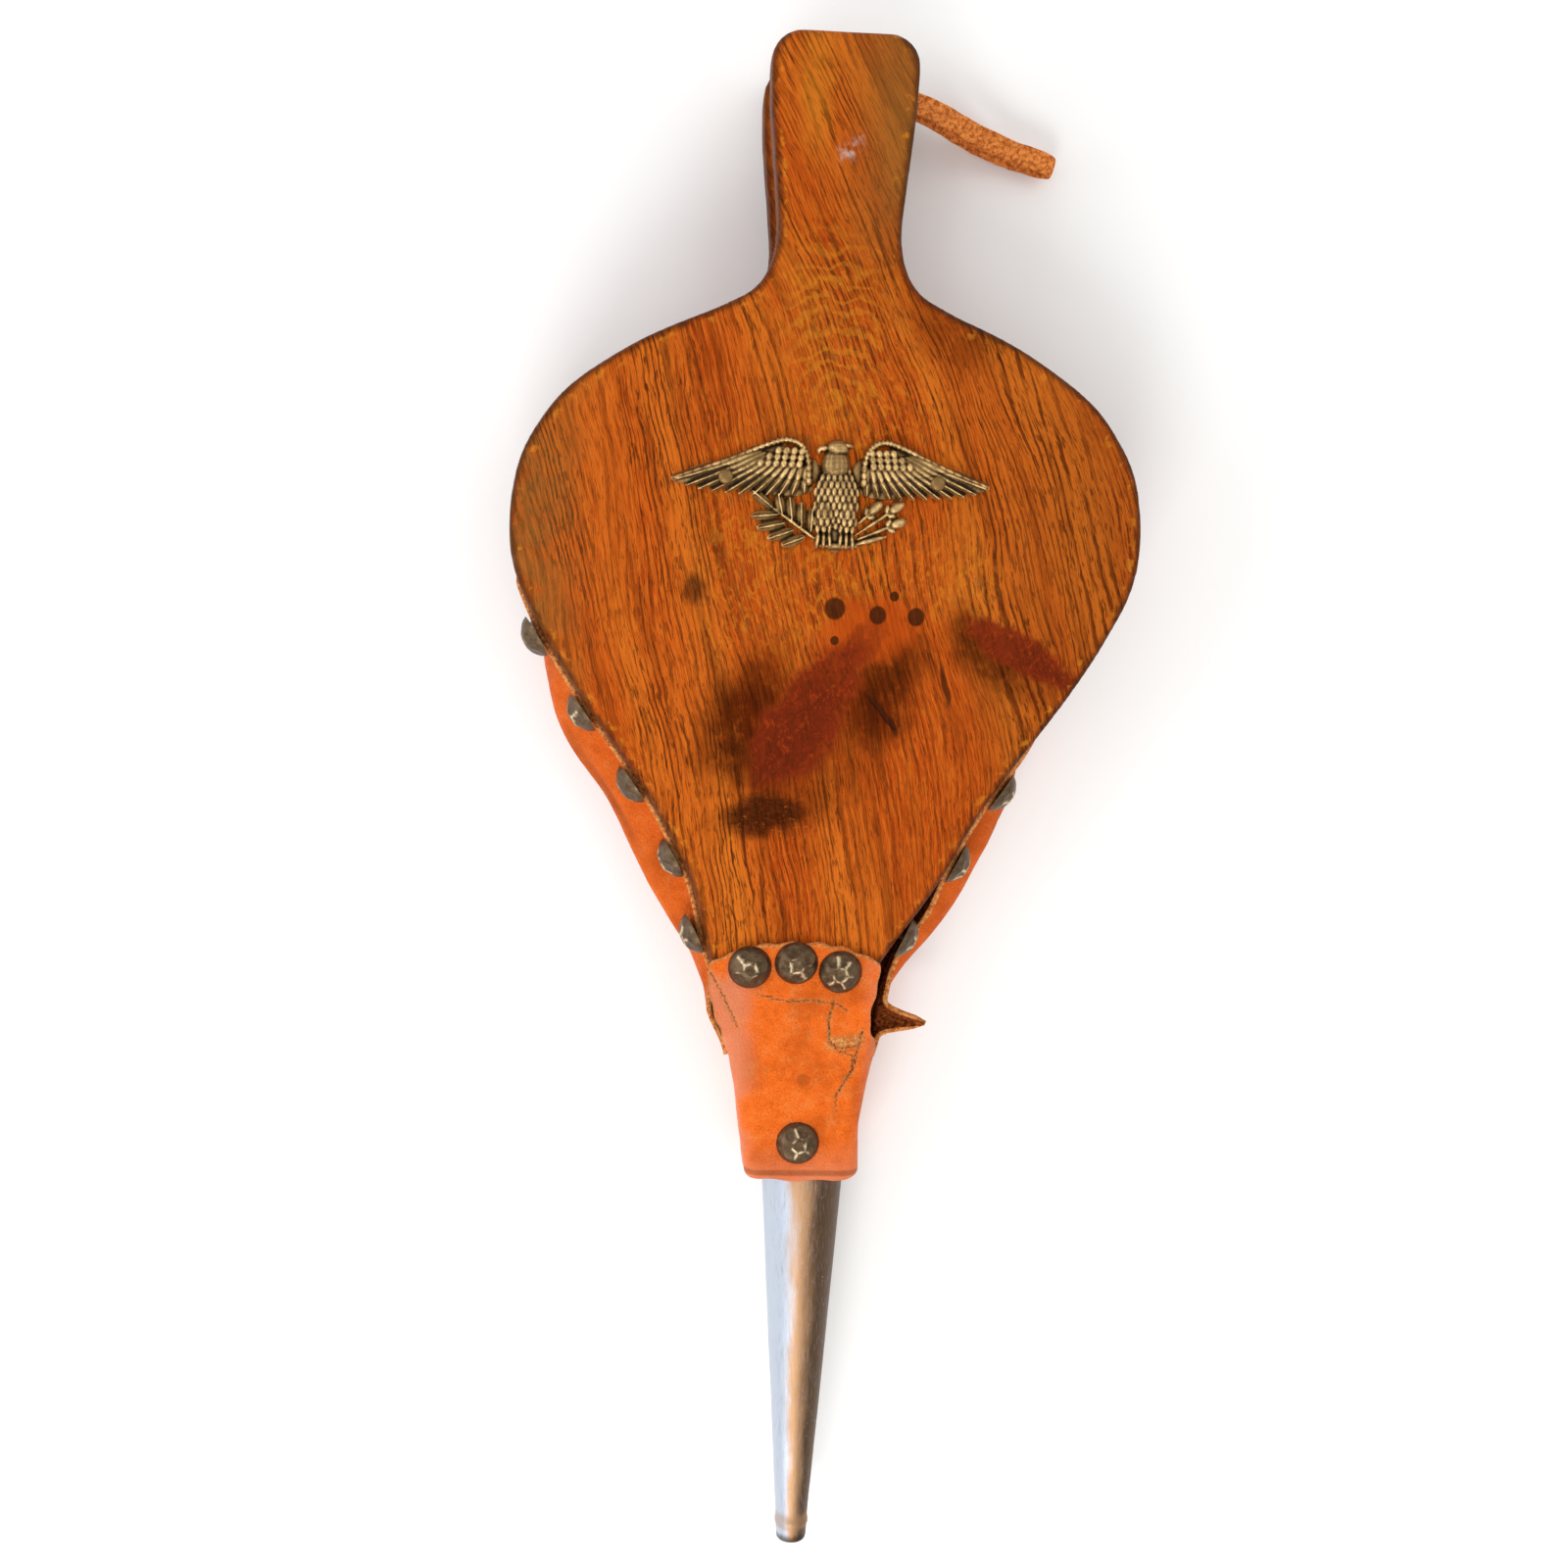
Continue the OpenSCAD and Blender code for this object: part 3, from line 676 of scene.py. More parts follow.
def leather_material(name, s, marks=False):
    """Smooth side of the leather: mottled, with fine grain, painted shade in the creases and rubbed raw fibres; on the
    collar also a painted pinkish sheen towards the nozzle and painted shade in its cracks.
    """
    r = Recipe(name)
    place = r.millimetres()
    x, y, z = r.split(place)
    blotch = r.noise(place, 0.07, 3, 0.55)
    colour = r.blend(r.between(blotch, 0.38, 0.68, 0.0, 0.7), s.grain, s.stain)
    cloud = r.noise(place, 0.25, 4, 0.65)
    colour = r.blend(r.between(cloud, 0.48, 0.7, 0.0, 0.22), colour, s.raw)
    colour = r.blend(r.between(cloud, 0.48, 0.3, 0.0, 0.4), colour, s.stain)
    if not marks:
        colour = r.blend(0.35, colour, s.stain)
    pebble = r.cells(place, 1.5)
    fine = r.noise(place, 2.2, 3, 0.6)
    colour = r.blend(r.between(fine, 0.46, 0.7, 0.0, 0.6), colour, s.stain)
    if marks:
        # Painted pinkish sheen over the collar towards the nozzle, and the same pink in blotches on its sides.
        front = r.between(r.math("MULTIPLY_ADD", blotch, 14, y), -80, -98)
        sides = r.between(r.math("ABSOLUTE", x), 13, 22)
        rosy_sheen = r.math("MAXIMUM", front, r.math("MULTIPLY", sides, r.between(blotch, 0.3, 0.5)))
        colour = r.blend(r.math("MULTIPLY", rosy_sheen, 0.8), colour, s.rosy_sheen)
        dot = r.math("MULTIPLY", r.spot(place, (0.1, -70.5), (1.9, 1.9), 0, 0.3), r.between(z, 28, 30))
        colour = r.blend(r.math("MULTIPLY", dot, 0.7), colour, r.blend(0.5, s.stain, s.flesh))
        wave = r.add("TexNoise", "Color", {"Vector": place, "Scale": 0.9, "Detail": 3.0})
        shaken = r.moved(place, r.scaled(r.moved(wave, (-0.5, -0.5, -0.5)), (2.2, 2.2, 0)))
        # Painted shade: the cracks on the collar's top, and a band just behind its rolled front lip, are darkened to
        # near black.
        torn = 0.0
        for line, depth in CRACKS:
            for (x0, y0), (x1, y1) in zip(line, line[1:]):
                size = (math.hypot(x1 - x0, y1 - y0) / 2 + 0.5, 0.16 + 0.2 * depth)
                turn = math.degrees(math.atan2(y1 - y0, x1 - x0))
                here = r.spot(shaken, ((x0 + x1) / 2, (y0 + y1) / 2), size, turn, 0.3)
                torn = r.math("MAXIMUM", torn, r.math("MULTIPLY", here, min(0.9, 0.45 + depth)))
        torn = r.math("MULTIPLY", torn, r.between(z, 24, 27))
        lip = r.math("MULTIPLY", r.between(y, -96.6, -97.6), r.between(y, -99.2, -98.4))
        torn = r.math("MAXIMUM", torn, r.math("MULTIPLY", lip, 0.45))
        colour = r.blend(torn, colour, CRACK_SHADE)
    # Painted shade in the creases: a near-black mixed with the stain colour, as much as the crease shade mark asks.
    creases = r.attribute("crease")
    colour = r.blend(r.math("MULTIPLY", creases, 0.75), colour, r.blend(0.6, s.stain, (0.05, 0.015, 0.005)))
    fibres = r.noise(place, 1.1, 3, 0.7)
    worn = r.math("MULTIPLY", r.attribute("worn"), r.between(fibres, 0.36, 0.56))
    colour = r.blend(worn, colour, s.raw)
    height = r.math("MULTIPLY_ADD", pebble, 0.7, r.math("ADD", fine, cloud))
    height = r.math("MULTIPLY_ADD", worn, r.math("MULTIPLY", fibres, 2.5), height)
    return r.finish(
        Base_Color=colour,
        Roughness=r.between(blotch, 0.3, 0.7, 0.42, 0.6),
        Specular_IOR_Level=0.2,
        Specular_Tint=s.raw,
        Normal=r.bump(height, 0.3, 1.0),
    )


def raw_leather_material(name, tint, deep):
    """Flesh side and cut edges: fibrous, matt and paler."""
    r = Recipe(name)
    place = r.millimetres()
    nap = r.noise(place, 0.9, 4, 0.7)
    tufts = r.noise(place, 3.2, 2, 0.6)
    colour = r.blend(r.between(nap, 0.35, 0.65), deep, tint)
    colour = r.blend(r.between(tufts, 0.55, 0.75, 0, 0.3), colour, deep)
    return r.finish(
        Base_Color=colour,
        Roughness=0.92,
        Specular_IOR_Level=0.1,
        Normal=r.bump(r.math("ADD", nap, tufts), 0.35, 0.8),
    )


def nail_material(name, s):
    """Dark bronze with the finish rubbed off the ridges between the hammer's dents; the pale ridges are also a painted
    highlight.
    """
    r = Recipe(name)
    place = r.millimetres()
    cloud = r.noise(place, 0.6, 3, 0.6)
    colour = r.blend(r.between(cloud, 0.2, 0.6, 0.35, 1.0), s.soot_and_shade, s.bronze)
    scratch = r.noise(r.scaled(place, (4, 1.5, 3)), 1, 3, 0.7)
    # Pale ridges between the dents: worn finish and painted highlight together.
    ridge = r.math("MULTIPLY", r.attribute("ridge"), r.between(cloud, 0.32, 0.52, 0.3, 1.0))
    worn = r.math("MULTIPLY", r.between(cloud, 0.5, 0.7), r.between(scratch, 0.5, 0.66))
    colour = r.blend(r.math("MAXIMUM", ridge, r.math("MULTIPLY", worn, 0.25)), colour, s.worn_bronze_and_highlight)
    return r.finish(
        Base_Color=colour,
        Metallic=0.8,
        Roughness=r.between(cloud, 0.3, 0.7, 0.32, 0.46),
        Normal=r.bump(r.math("ADD", cloud, scratch), 0.12, 0.6),
    )


def brass_material(name, s):
    """Cast brass, dark in its recesses and bright on its raised parts, where hands have rubbed it and where a highlight
    is painted.
    """
    r = Recipe(name)
    place = r.millimetres()
    cloud = r.noise(place, 0.35, 3, 0.6)
    pits = r.noise(place, 2.5, 3, 0.6)
    raised = r.attribute("ridge")
    colour = r.blend(r.between(raised, -0.1, 0.02), s.soot_and_shade, s.brass)
    # Raised parts lightened: rubbed brass and painted highlight together.
    bright = r.math("MULTIPLY", r.between(raised, 0.01, 0.1), r.between(cloud, 0.35, 0.6, 0.3, 1.0))
    colour = r.blend(bright, colour, s.bright_brass_and_highlight)
    colour = r.blend(r.between(pits, 0.55, 0.7, 0, 0.5), colour, s.soot_and_shade)
    return r.finish(
        Base_Color=colour,
        Metallic=0.75,
        Roughness=r.between(cloud, 0.3, 0.7, 0.32, 0.48),
        Normal=r.bump(pits, 0.14, 0.7),
    )


def nozzle_material(name, s):
    """Old sheet metal: a painted pale window reflection on the left, tarnished on top, painted shade on the right,
    scratched, with a sooty mouth.
    """
    r = Recipe(name)
    place = r.millimetres()
    x, y, z = r.split(place)
    cloud = r.noise(r.scaled(place, (0.22, 0.04, 0.22)), 1, 4, 0.6)
    radius = r.math("MULTIPLY_ADD", y, 0.0655, 18.65)
    # Left to right across the nozzle: the pale steel tone on the left is a painted window reflection, and the darkening
    # towards the right is painted shade.
    side = r.math("DIVIDE", x, radius)
    side = r.math("MULTIPLY_ADD", cloud, 0.7, r.math("ADD", side, -0.35))
    colour = r.blend(r.between(side, -0.55, -0.1), s.steel_and_reflection, s.tarnish)
    colour = r.blend(r.between(side, -0.1, 0.3, 0.0, 0.5), colour, r.blend(0.5, s.tarnish, s.soot_and_shade))
    colour = r.blend(r.between(side, 0.15, 0.5, 0.0, 0.72), colour, s.soot_and_shade)
    scratches = r.noise(r.scaled(place, (3.5, 0.08, 3.5)), 1, 3, 0.7)
    nicks = r.noise(r.scaled(place, (1.1, 0.4, 1.1)), 1, 5, 0.8, 1.5)
    colour = r.blend(r.between(scratches, 0.5, 0.75, 0.0, 0.25), colour, s.steel_and_reflection)
    colour = r.blend(r.between(scratches, 0.5, 0.25, 0.0, 0.3), colour, s.soot_and_shade)
    colour = r.blend(r.between(nicks, 0.6, 0.68, 0, 0.5), colour, s.steel_and_reflection)
    colour = r.blend(r.between(nicks, 0.38, 0.28, 0, 0.55), colour, s.soot_and_shade)
    worn = r.math("MULTIPLY", r.between(y, -206, -208.4), r.between(y, -212.6, -211))
    colour = r.blend(r.math("MULTIPLY", worn, 0.5), colour, s.tarnish)
    sooty = r.between(r.math("MULTIPLY_ADD", cloud, 3, y), -211.5, -213.5)
    colour = r.blend(r.math("MULTIPLY", sooty, 0.75), colour, s.soot_and_shade)
    return r.finish(
        Base_Color=colour,
        Metallic=0.85,
        Roughness=r.between(scratches, 0.3, 0.7, 0.36, 0.56),
        Normal=r.bump(r.math("ADD", scratches, nicks), 0.1, 0.6),
    )


def looks():
    """Every material by name, made once."""
    scene = bpy.context.scene
    wood, leather, metal = scene.bellows_wood, scene.bellows_leather, scene.bellows_metal
    makers = {
        "stained_wood": lambda n: wood_material(n, wood, True),
        "plain_wood": lambda n: wood_material(n, wood, False),
        "leather": lambda n: leather_material(n, leather),
        "collar_leather": lambda n: leather_material(n, leather, True),
        "raw_leather": lambda n: raw_leather_material(n, leather.raw, leather.flesh),
        "flesh_leather": lambda n: raw_leather_material(n, leather.flesh, wood.dark_brown),
        "suede": lambda n: raw_leather_material(n, leather.suede, leather.flesh),
        "hammered_bronze": lambda n: nail_material(n, metal),
        "cast_brass": lambda n: brass_material(n, metal),
        "nozzle_metal": lambda n: nozzle_material(n, metal),
    }
    return makers


def look(name):
    """The material of that name, made when it is first asked for."""
    own_name = f"bellows_{name}"
    return bpy.data.materials.get(own_name) or looks()[name](own_name)


# ---- Stage ----


class BELLOWS_OT_stage(bpy.types.Operator):
    """Pale floor, soft lights and the camera"""

    bl_idname = "bellows.stage"
    bl_label = "Stage"

    def execute(self, context):
        s = context.scene.bellows_stage
        floor = add("plane", "floor", size=4)
        recipe = Recipe("floor")
        floor.data.materials.append(recipe.finish(Base_Color=tuple(s.floor), Roughness=0.9))
        world = bpy.data.worlds.new("sky")
        world.use_nodes = True
        background = world.node_tree.nodes["Background"]
        background.inputs["Color"].default_value = (1, 1, 1, 1)
        background.inputs["Strength"].default_value = s.sky
        context.scene.world = world
        self.light("key", (-0.25, -0.75, 0.75), 0.5, s.key)
        self.light("window", (-0.9, 0.1, 0.5), 0.7, s.key * 0.9, (0.86, 0.93, 1.0))
        self.light("fill", (0.8, 0.4, 0.9), 0.9, s.key * 0.5)
        data = bpy.data.cameras.new("camera")
        data.lens = s.lens
        data.clip_start, data.clip_end = 0.01, 20
        camera = bpy.data.objects.new("camera", data)
        camera.location, camera.rotation_euler = s.camera, s.turn
        context.scene.collection.objects.link(camera)
        context.scene.camera = camera
        context.scene.view_settings.view_transform = "Standard"
        return {"FINISHED"}

    def light(self, name, place, size, power, tint=(1, 1, 1)):
        """A square soft light that looks at the middle of the object."""
        data = bpy.data.lights.new(name, "AREA")
        data.size, data.energy, data.color = size, power, tint
        made = bpy.data.objects.new(name, data)
        made.location = place
        made.rotation_euler = (Vector((0, 0, 0.02)) - Vector(place)).to_track_quat("-Z", "Y").to_euler()
        bpy.context.scene.collection.objects.link(made)


# ---- Thong ----

# The lace leaves its knot, goes up through the lower handle and out between the handles, droops to the
# surface, folds back over itself and returns to the knot, in millimetres.
LACE_ROUTE = (
    (1.5, 205, 4), (1.5, 205, 9), (1.7, 205, 13), (3, 205.2, 15.6), (6, 205.6, 17), (11, 206, 17.2),
    (17, 206, 16.4), (23, 205.4, 14.4), (29, 203.8, 11.4), (35, 201.6, 8), (41, 199.6, 5),
    (47, 197.8, 2.8), (53, 196.2, 1.7), (58, 194.9, 1.5), (62, 193.8, 2.2), (64.4, 193.1, 4.6),
    (63, 193.5, 7.4), (59, 194.6, 8.4), (53, 196.2, 9.2), (46, 198.2, 10.8), (39, 200.4, 13.4),
    (32, 203, 16.4), (25, 205.2, 18.8), (18, 206.4, 20.2), (11, 206.6, 20.9), (5, 206, 21),
    (1, 205.4, 20), (-1, 205.1, 17.4), (-1.5, 205, 13.5), (-1.5, 205, 9), (-1.5, 205, 4),
)
LACE_WIDTH = 6.0
LACE_THICKNESS = 1.9
LACE_SIDES = 14


def curve_through(points, n):
    """Points on a smooth curve through the given ones, n to each gap."""
    pts = [Vector(p) for p in points]
    out = []
    for i in range(len(pts) - 1):
        a, b, c, d = pts[max(i - 1, 0)], pts[i], pts[i + 1], pts[min(i + 2, len(pts) - 1)]
        for k in range(n):
            t = k / n
            out.append(
                0.5 * (2 * b + (c - a) * t + (2 * a - 5 * b + 4 * c - d) * t**2 + (3 * b - a - 3 * c + d) * t**3)
            )
    return out + [pts[-1]]


def length_of(points):
    return sum((b - a).length for a, b in zip(points, points[1:]))


class BELLOWS_OT_thong(bpy.types.Operator):
    """Flat suede lace that hangs the bellows up, and its knot under the lower handle"""

    bl_idname = "bellows.thong"
    bl_label = "Thong"

    def execute(self, context):
        line = [p * MM for p in curve_through(LACE_ROUTE, 6)]
        across = Vector((0.28, 0.96, 0)).normalized()
        rows = []
        for i, p in enumerate(line):
            t = (line[min(i + 1, len(line) - 1)] - line[max(i - 1, 0)]).normalized()
            b = (across - across.dot(t) * t).normalized()
            n = t.cross(b)
            ragged = 1 + 0.07 * rough(p, 5 * MM, 3) + 0.05 * rough(p, 1.8 * MM, 8)
            cup = 0.25 * rough(p, 9 * MM, 5)
            row = []
            for k in range(LACE_SIDES):
                a = 2 * math.pi * (k + 0.5) / LACE_SIDES
                w = math.copysign(abs(math.cos(a)) ** 0.55, math.cos(a)) * LACE_WIDTH / 2 * ragged
                h = math.copysign(abs(math.sin(a)) ** 0.6, math.sin(a)) * LACE_THICKNESS / 2
                h += cup * (w / LACE_WIDTH * 2) ** 2
                row.append(p + b * w * MM + n * h * MM)
            rows.append(row)
        lace = sheet_of("thong", rows, closed=True)
        with editing(lace):
            pick(lace, "verts", lambda v: v.is_boundary)
            bpy.ops.mesh.select_mode(type="EDGE")
            bpy.ops.mesh.edge_face_add()
            bpy.ops.mesh.select_all(action="SELECT")
            bpy.ops.mesh.normals_make_consistent(inside=False)
        smooth(lace)
        modify(lace, "SUBSURF", levels=1, render_levels=1)
        hand_over(lace, [look("suede")], "suede", "lower", "hanging_thong")
        knot = self.knot()
        hand_over(knot, [look("suede")], "suede", "lower", "thong_knot")
        return {"FINISHED"}

    def knot(self):
        """An overhand knot pulled tight: two crossing rings and the lace's ends pressed into one lump."""
        low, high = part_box("thong_knot")
        middle = (low + high) / 2
        size = (high - low) / 2
        parts = [
            add("torus", "ring", major_radius=size.x - 3.1 * MM, minor_radius=2.9 * MM, location=middle,
                rotation=(math.radians(tilt), math.radians(8), 0), major_segments=40, minor_segments=16)
            for tilt in (-7, 9)
        ]
        parts.append(add("uv_sphere", "core", radius=1, scale=(4.4 * MM, 3.8 * MM, 2.4 * MM), location=middle))
        knot = joined("thong_knot_lump", parts)
        settle(knot)
        modify(knot, "REMESH", mode="VOXEL", voxel_size=0.4 * MM)
        modify(knot, "SMOOTH", factor=0.5, iterations=4)
        apply_modifiers(knot)
        sculpt(knot, lambda p, n: n * 0.35 * MM * rough(p, 2.5 * MM, 2))
        for v in knot.data.vertices:
            v.co = Vector((v.co.x, v.co.y, min(high.z, max(low.z, v.co.z))))
        smooth(knot)
        return knot


# ---- Boards and nose ----


def plank(name, node, s):
    """A board cut to the CAD outline, with eased arrises and an even mesh for carving."""
    board = cad_copy(name, node)
    modify(board, "BEVEL", width=s.arris, segments=3, limit_method="ANGLE", angle_limit=math.radians(50))
    modify(board, "REMESH", mode="VOXEL", voxel_size=s.voxel)
    modify(board, "SMOOTH", factor=0.5, iterations=3)
    apply_modifiers(board)
    smooth(board)
    return board


def ellipse(p, at, size, turn):
    """How far a point in millimetres lies inside an ellipse: 1 at its middle and 0 from its rim outwards."""
    c, s = math.cos(math.radians(turn)), math.sin(math.radians(turn))
    dx, dy = p[0] - at[0] - MARKS_X, p[1] - at[1]
    far = math.hypot((dx * c + dy * s) / size[0], (dy * c - dx * s) / size[1])
    return step(1 - far, 0, 0.7)


def upper_relief(co, normal):
    """Carving of the upper board: waves from the plane, hollows at the burls, and the torn knot."""
    p = UPPER_INV @ co / MM
    depth = 0.12 * rough(co, 30 * MM) + 0.05 * rough(co, 8 * MM, 4)
    if normal.z > 0.5:
        depth -= 0.5 * ellipse(p, (-1, 38), (34, 11), 53) * (1 + 0.8 * rough(co, 4 * MM, 2))
        depth -= 0.45 * ellipse(p, (56, 56), (18, 7), -32)
        torn = ellipse(p, (-13, 6.5), (11, 6.5), 12)
        depth -= torn * (1.3 + 1.1 * rough(co, 2.6 * MM, 7))
        depth += 0.3 * ellipse(p, (-11, 0), (14, 6), 12) * rough(co, 3 * MM, 9)
        for at, radius in (((4.2, 64.3), 3.4), ((16.2, 62.8), 2.9), ((26.9, 62.6), 2.9)):
            depth -= 0.35 * ellipse(p, at, (radius, radius), 0)
        depth += 0.25 * ellipse(p, (1, 138), (16, 26), 5) * rough(Vector((co.x, co.y * 2.2, 0)), 5 * MM, 5)
    return normal * depth * MM


class BELLOWS_OT_boards(bpy.types.Operator):
    """Upper and lower pear-shaped boards with their handles"""

    bl_idname = "bellows.boards"
    bl_label = "Boards"

    def execute(self, context):
        s = context.scene.bellows_wood
        upper = plank("upper_plank", "upper_board", s)
        mark(upper, "rim", [rim_distance(UPPER_INV @ v.co) / MM for v in upper.data.vertices])
        sculpt(upper, upper_relief)
        hand_over(upper, [look("stained_wood")], "wood", "upper", "upper_board")
        lower = plank("lower_plank", "lower_board", s)
        sculpt(lower, lambda co, n: n * MM * (0.12 * rough(co, 30 * MM, 6) + 0.05 * rough(co, 8 * MM, 9)))
        for v in lower.data.vertices:
            v.co.z = max(0.0, v.co.z)
        mark(lower, "rim", [rim_distance(v.co) / MM for v in lower.data.vertices])
        hand_over(lower, [look("plain_wood")], "wood_dark", "lower", "lower_board")
        return {"FINISHED"}


class BELLOWS_OT_nose(bpy.types.Operator):
    """Nose block with rounded edges, and its brads"""

    bl_idname = "bellows.nose"
    bl_label = "Nose block"

    def execute(self, context):
        block = cad_copy("nose_wood", "nose_block")
        low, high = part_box("nose_block")
        with editing(block):
            pick(block, "edges", lambda e: self.outer_arris(e, low, high))
            bpy.ops.mesh.bevel(offset=3.4 * MM, segments=5, affect="EDGES")
        smooth(block, 40)
        mark(block, "rim", [8.0] * len(block.data.vertices))
        hand_over(block, [look("plain_wood")], "wood_dark", "lower", "nose_block")
        brads = frame["nodes"]["block_brads"]
        brads.data.materials.clear()
        brads.data.materials.append(look("hammered_bronze"))
        modify(brads, "BEVEL", width=0.25 * MM, segments=2, limit_method="ANGLE")
        return {"FINISHED"}

    def outer_arris(self, edge, low, high):
        """The long edges of the block's top and bottom, and those of its front face."""
        a, b = edge.verts[0].co, edge.verts[1].co
        outside = all(abs(p.x) > 14 * MM for p in (a, b))
        level = abs(a.z - b.z) < 0.1 * MM and (a.z > high.z - 0.1 * MM or a.z < low.z + 0.1 * MM)
        ahead = all(p.y < low.y + 0.1 * MM for p in (a, b))
        return edge.is_manifold and (outside and level or ahead and (outside or level))


# ---- Nozzle ----


class BELLOWS_OT_nozzle(bpy.types.Operator):
    """Tapered metal nozzle, turned round its axis and slightly dented"""

    bl_idname = "bellows.nozzle"
    bl_label = "Nozzle"

    def execute(self, context):
        low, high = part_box("nozzle")
        axis_z = (low.z + high.z) / 2
        root = (high.z - low.z) / 2
        long = high.y - low.y
        tip = 4.5 * MM
        # Radius and distance from the mouth, from the inner wall at the root round the mouth and back.
        profile = (
            (root - 1.2 * MM, long), (root, long), (root, long - 8 * MM), (mix(tip, root, 0.5), long * 0.475),
            (tip + 0.35 * MM, 9 * MM), (tip + 0.3 * MM, 7.2 * MM), (tip + 0.5 * MM, 6.4 * MM),
            (tip + 0.5 * MM, 5.2 * MM), (tip + 0.2 * MM, 4.4 * MM), (tip, 1.2 * MM), (tip - 0.2 * MM, 0.4 * MM),
            (tip - 0.5 * MM, 0), (tip - 1.0 * MM, 0.1 * MM), (3.2 * MM, 0.9 * MM), (3.2 * MM, 12 * MM),
            (root - 1.2 * MM, long - 8 * MM),
        )
        mesh = bpy.data.meshes.new("nozzle_cone")
        points = [Vector((r, low.y + y, axis_z)) for r, y in profile]
        mesh.from_pydata(points, [(i, (i + 1) % len(points)) for i in range(len(points))], [])
        cone = bpy.data.objects.new("nozzle_cone", mesh)
        context.scene.collection.objects.link(cone)
        with editing(cone):
            bpy.ops.mesh.select_all(action="SELECT")
            bpy.ops.mesh.spin(steps=96, angle=2 * math.pi, center=(0, 0, axis_z), axis=(0, 1, 0))
            bpy.ops.mesh.select_all(action="SELECT")
            bpy.ops.mesh.remove_doubles(threshold=0.02 * MM)
            bpy.ops.mesh.normals_make_consistent(inside=False)
            pick(cone, "edges", lambda e: abs(e.verts[0].co.y - e.verts[1].co.y) > 8 * MM)
            bpy.ops.mesh.subdivide(number_cuts=24)
        sculpt(cone, self.dents)
        smooth(cone, 35)
        hand_over(cone, [look("nozzle_metal")], "nozzle_metal", "lower", "nozzle")
        return {"FINISHED"}

    def dents(self, co, normal):
        """Shallow dents of a hammered seam, none where the nozzle sits in the nose or at its mouth."""
        y = co.y / MM
        share = step(y, -214, -200) * (1 - step(y, -118, -106))
        return normal * MM * share * 0.14 * rough(Vector((co.x, co.y * 0.45, co.z)), 7 * MM, 1)


# ---- Gusset ----

# Where the gusset leaves the boards' edges and turns in between them, on each side.
TURN = {-1: 62.0, 1: 28.0}
# How far the wall stands out on each side, as a share of the bulge, and where it begins and ends along Y.
SWELL = {-1: (0.86, (-50, -8), (26, 62)), 1: (0.7, (-62, -24), (4, 40))}
TURN_LENGTH = 18.0
NOSE_END = -66.0
STATION = 2.1
LEAVES = 13


def path_side():
    """Right-hand path of the gusset's foot as (x, y) in millimetres, from the collar to the shoulder."""
    front = [(20.4, NOSE_END), (21.6, -61), (22.5, -55)]
    edge = [(x / MM, y / MM) for x, y in LOWER_EDGE if -49 * MM < y < 146 * MM]
    return front + edge


def resampled(points, gap):
    """The same path with its points an even distance apart."""
    pts = [Vector(p) for p in points]
    total = length_of(pts)
    count = round(total / gap)
    out, walked, i = [], 0.0, 0
    for k in range(count + 1):
        want = total * k / count
        while i < len(pts) - 2 and walked + (pts[i + 1] - pts[i]).length < want:
            walked += (pts[i + 1] - pts[i]).length
            i += 1
        t = (want - walked) / (pts[i + 1] - pts[i]).length
        out.append(pts[i].lerp(pts[i + 1], min(1.0, t)))
    return out


def underside(y):
    """Height of the upper board's underside at y, in millimetres."""
    thick = BOARD_T / MM / math.cos(TILT)
    return HINGE.z / MM - thick + (y - HINGE.y / MM) * math.tan(TILT)


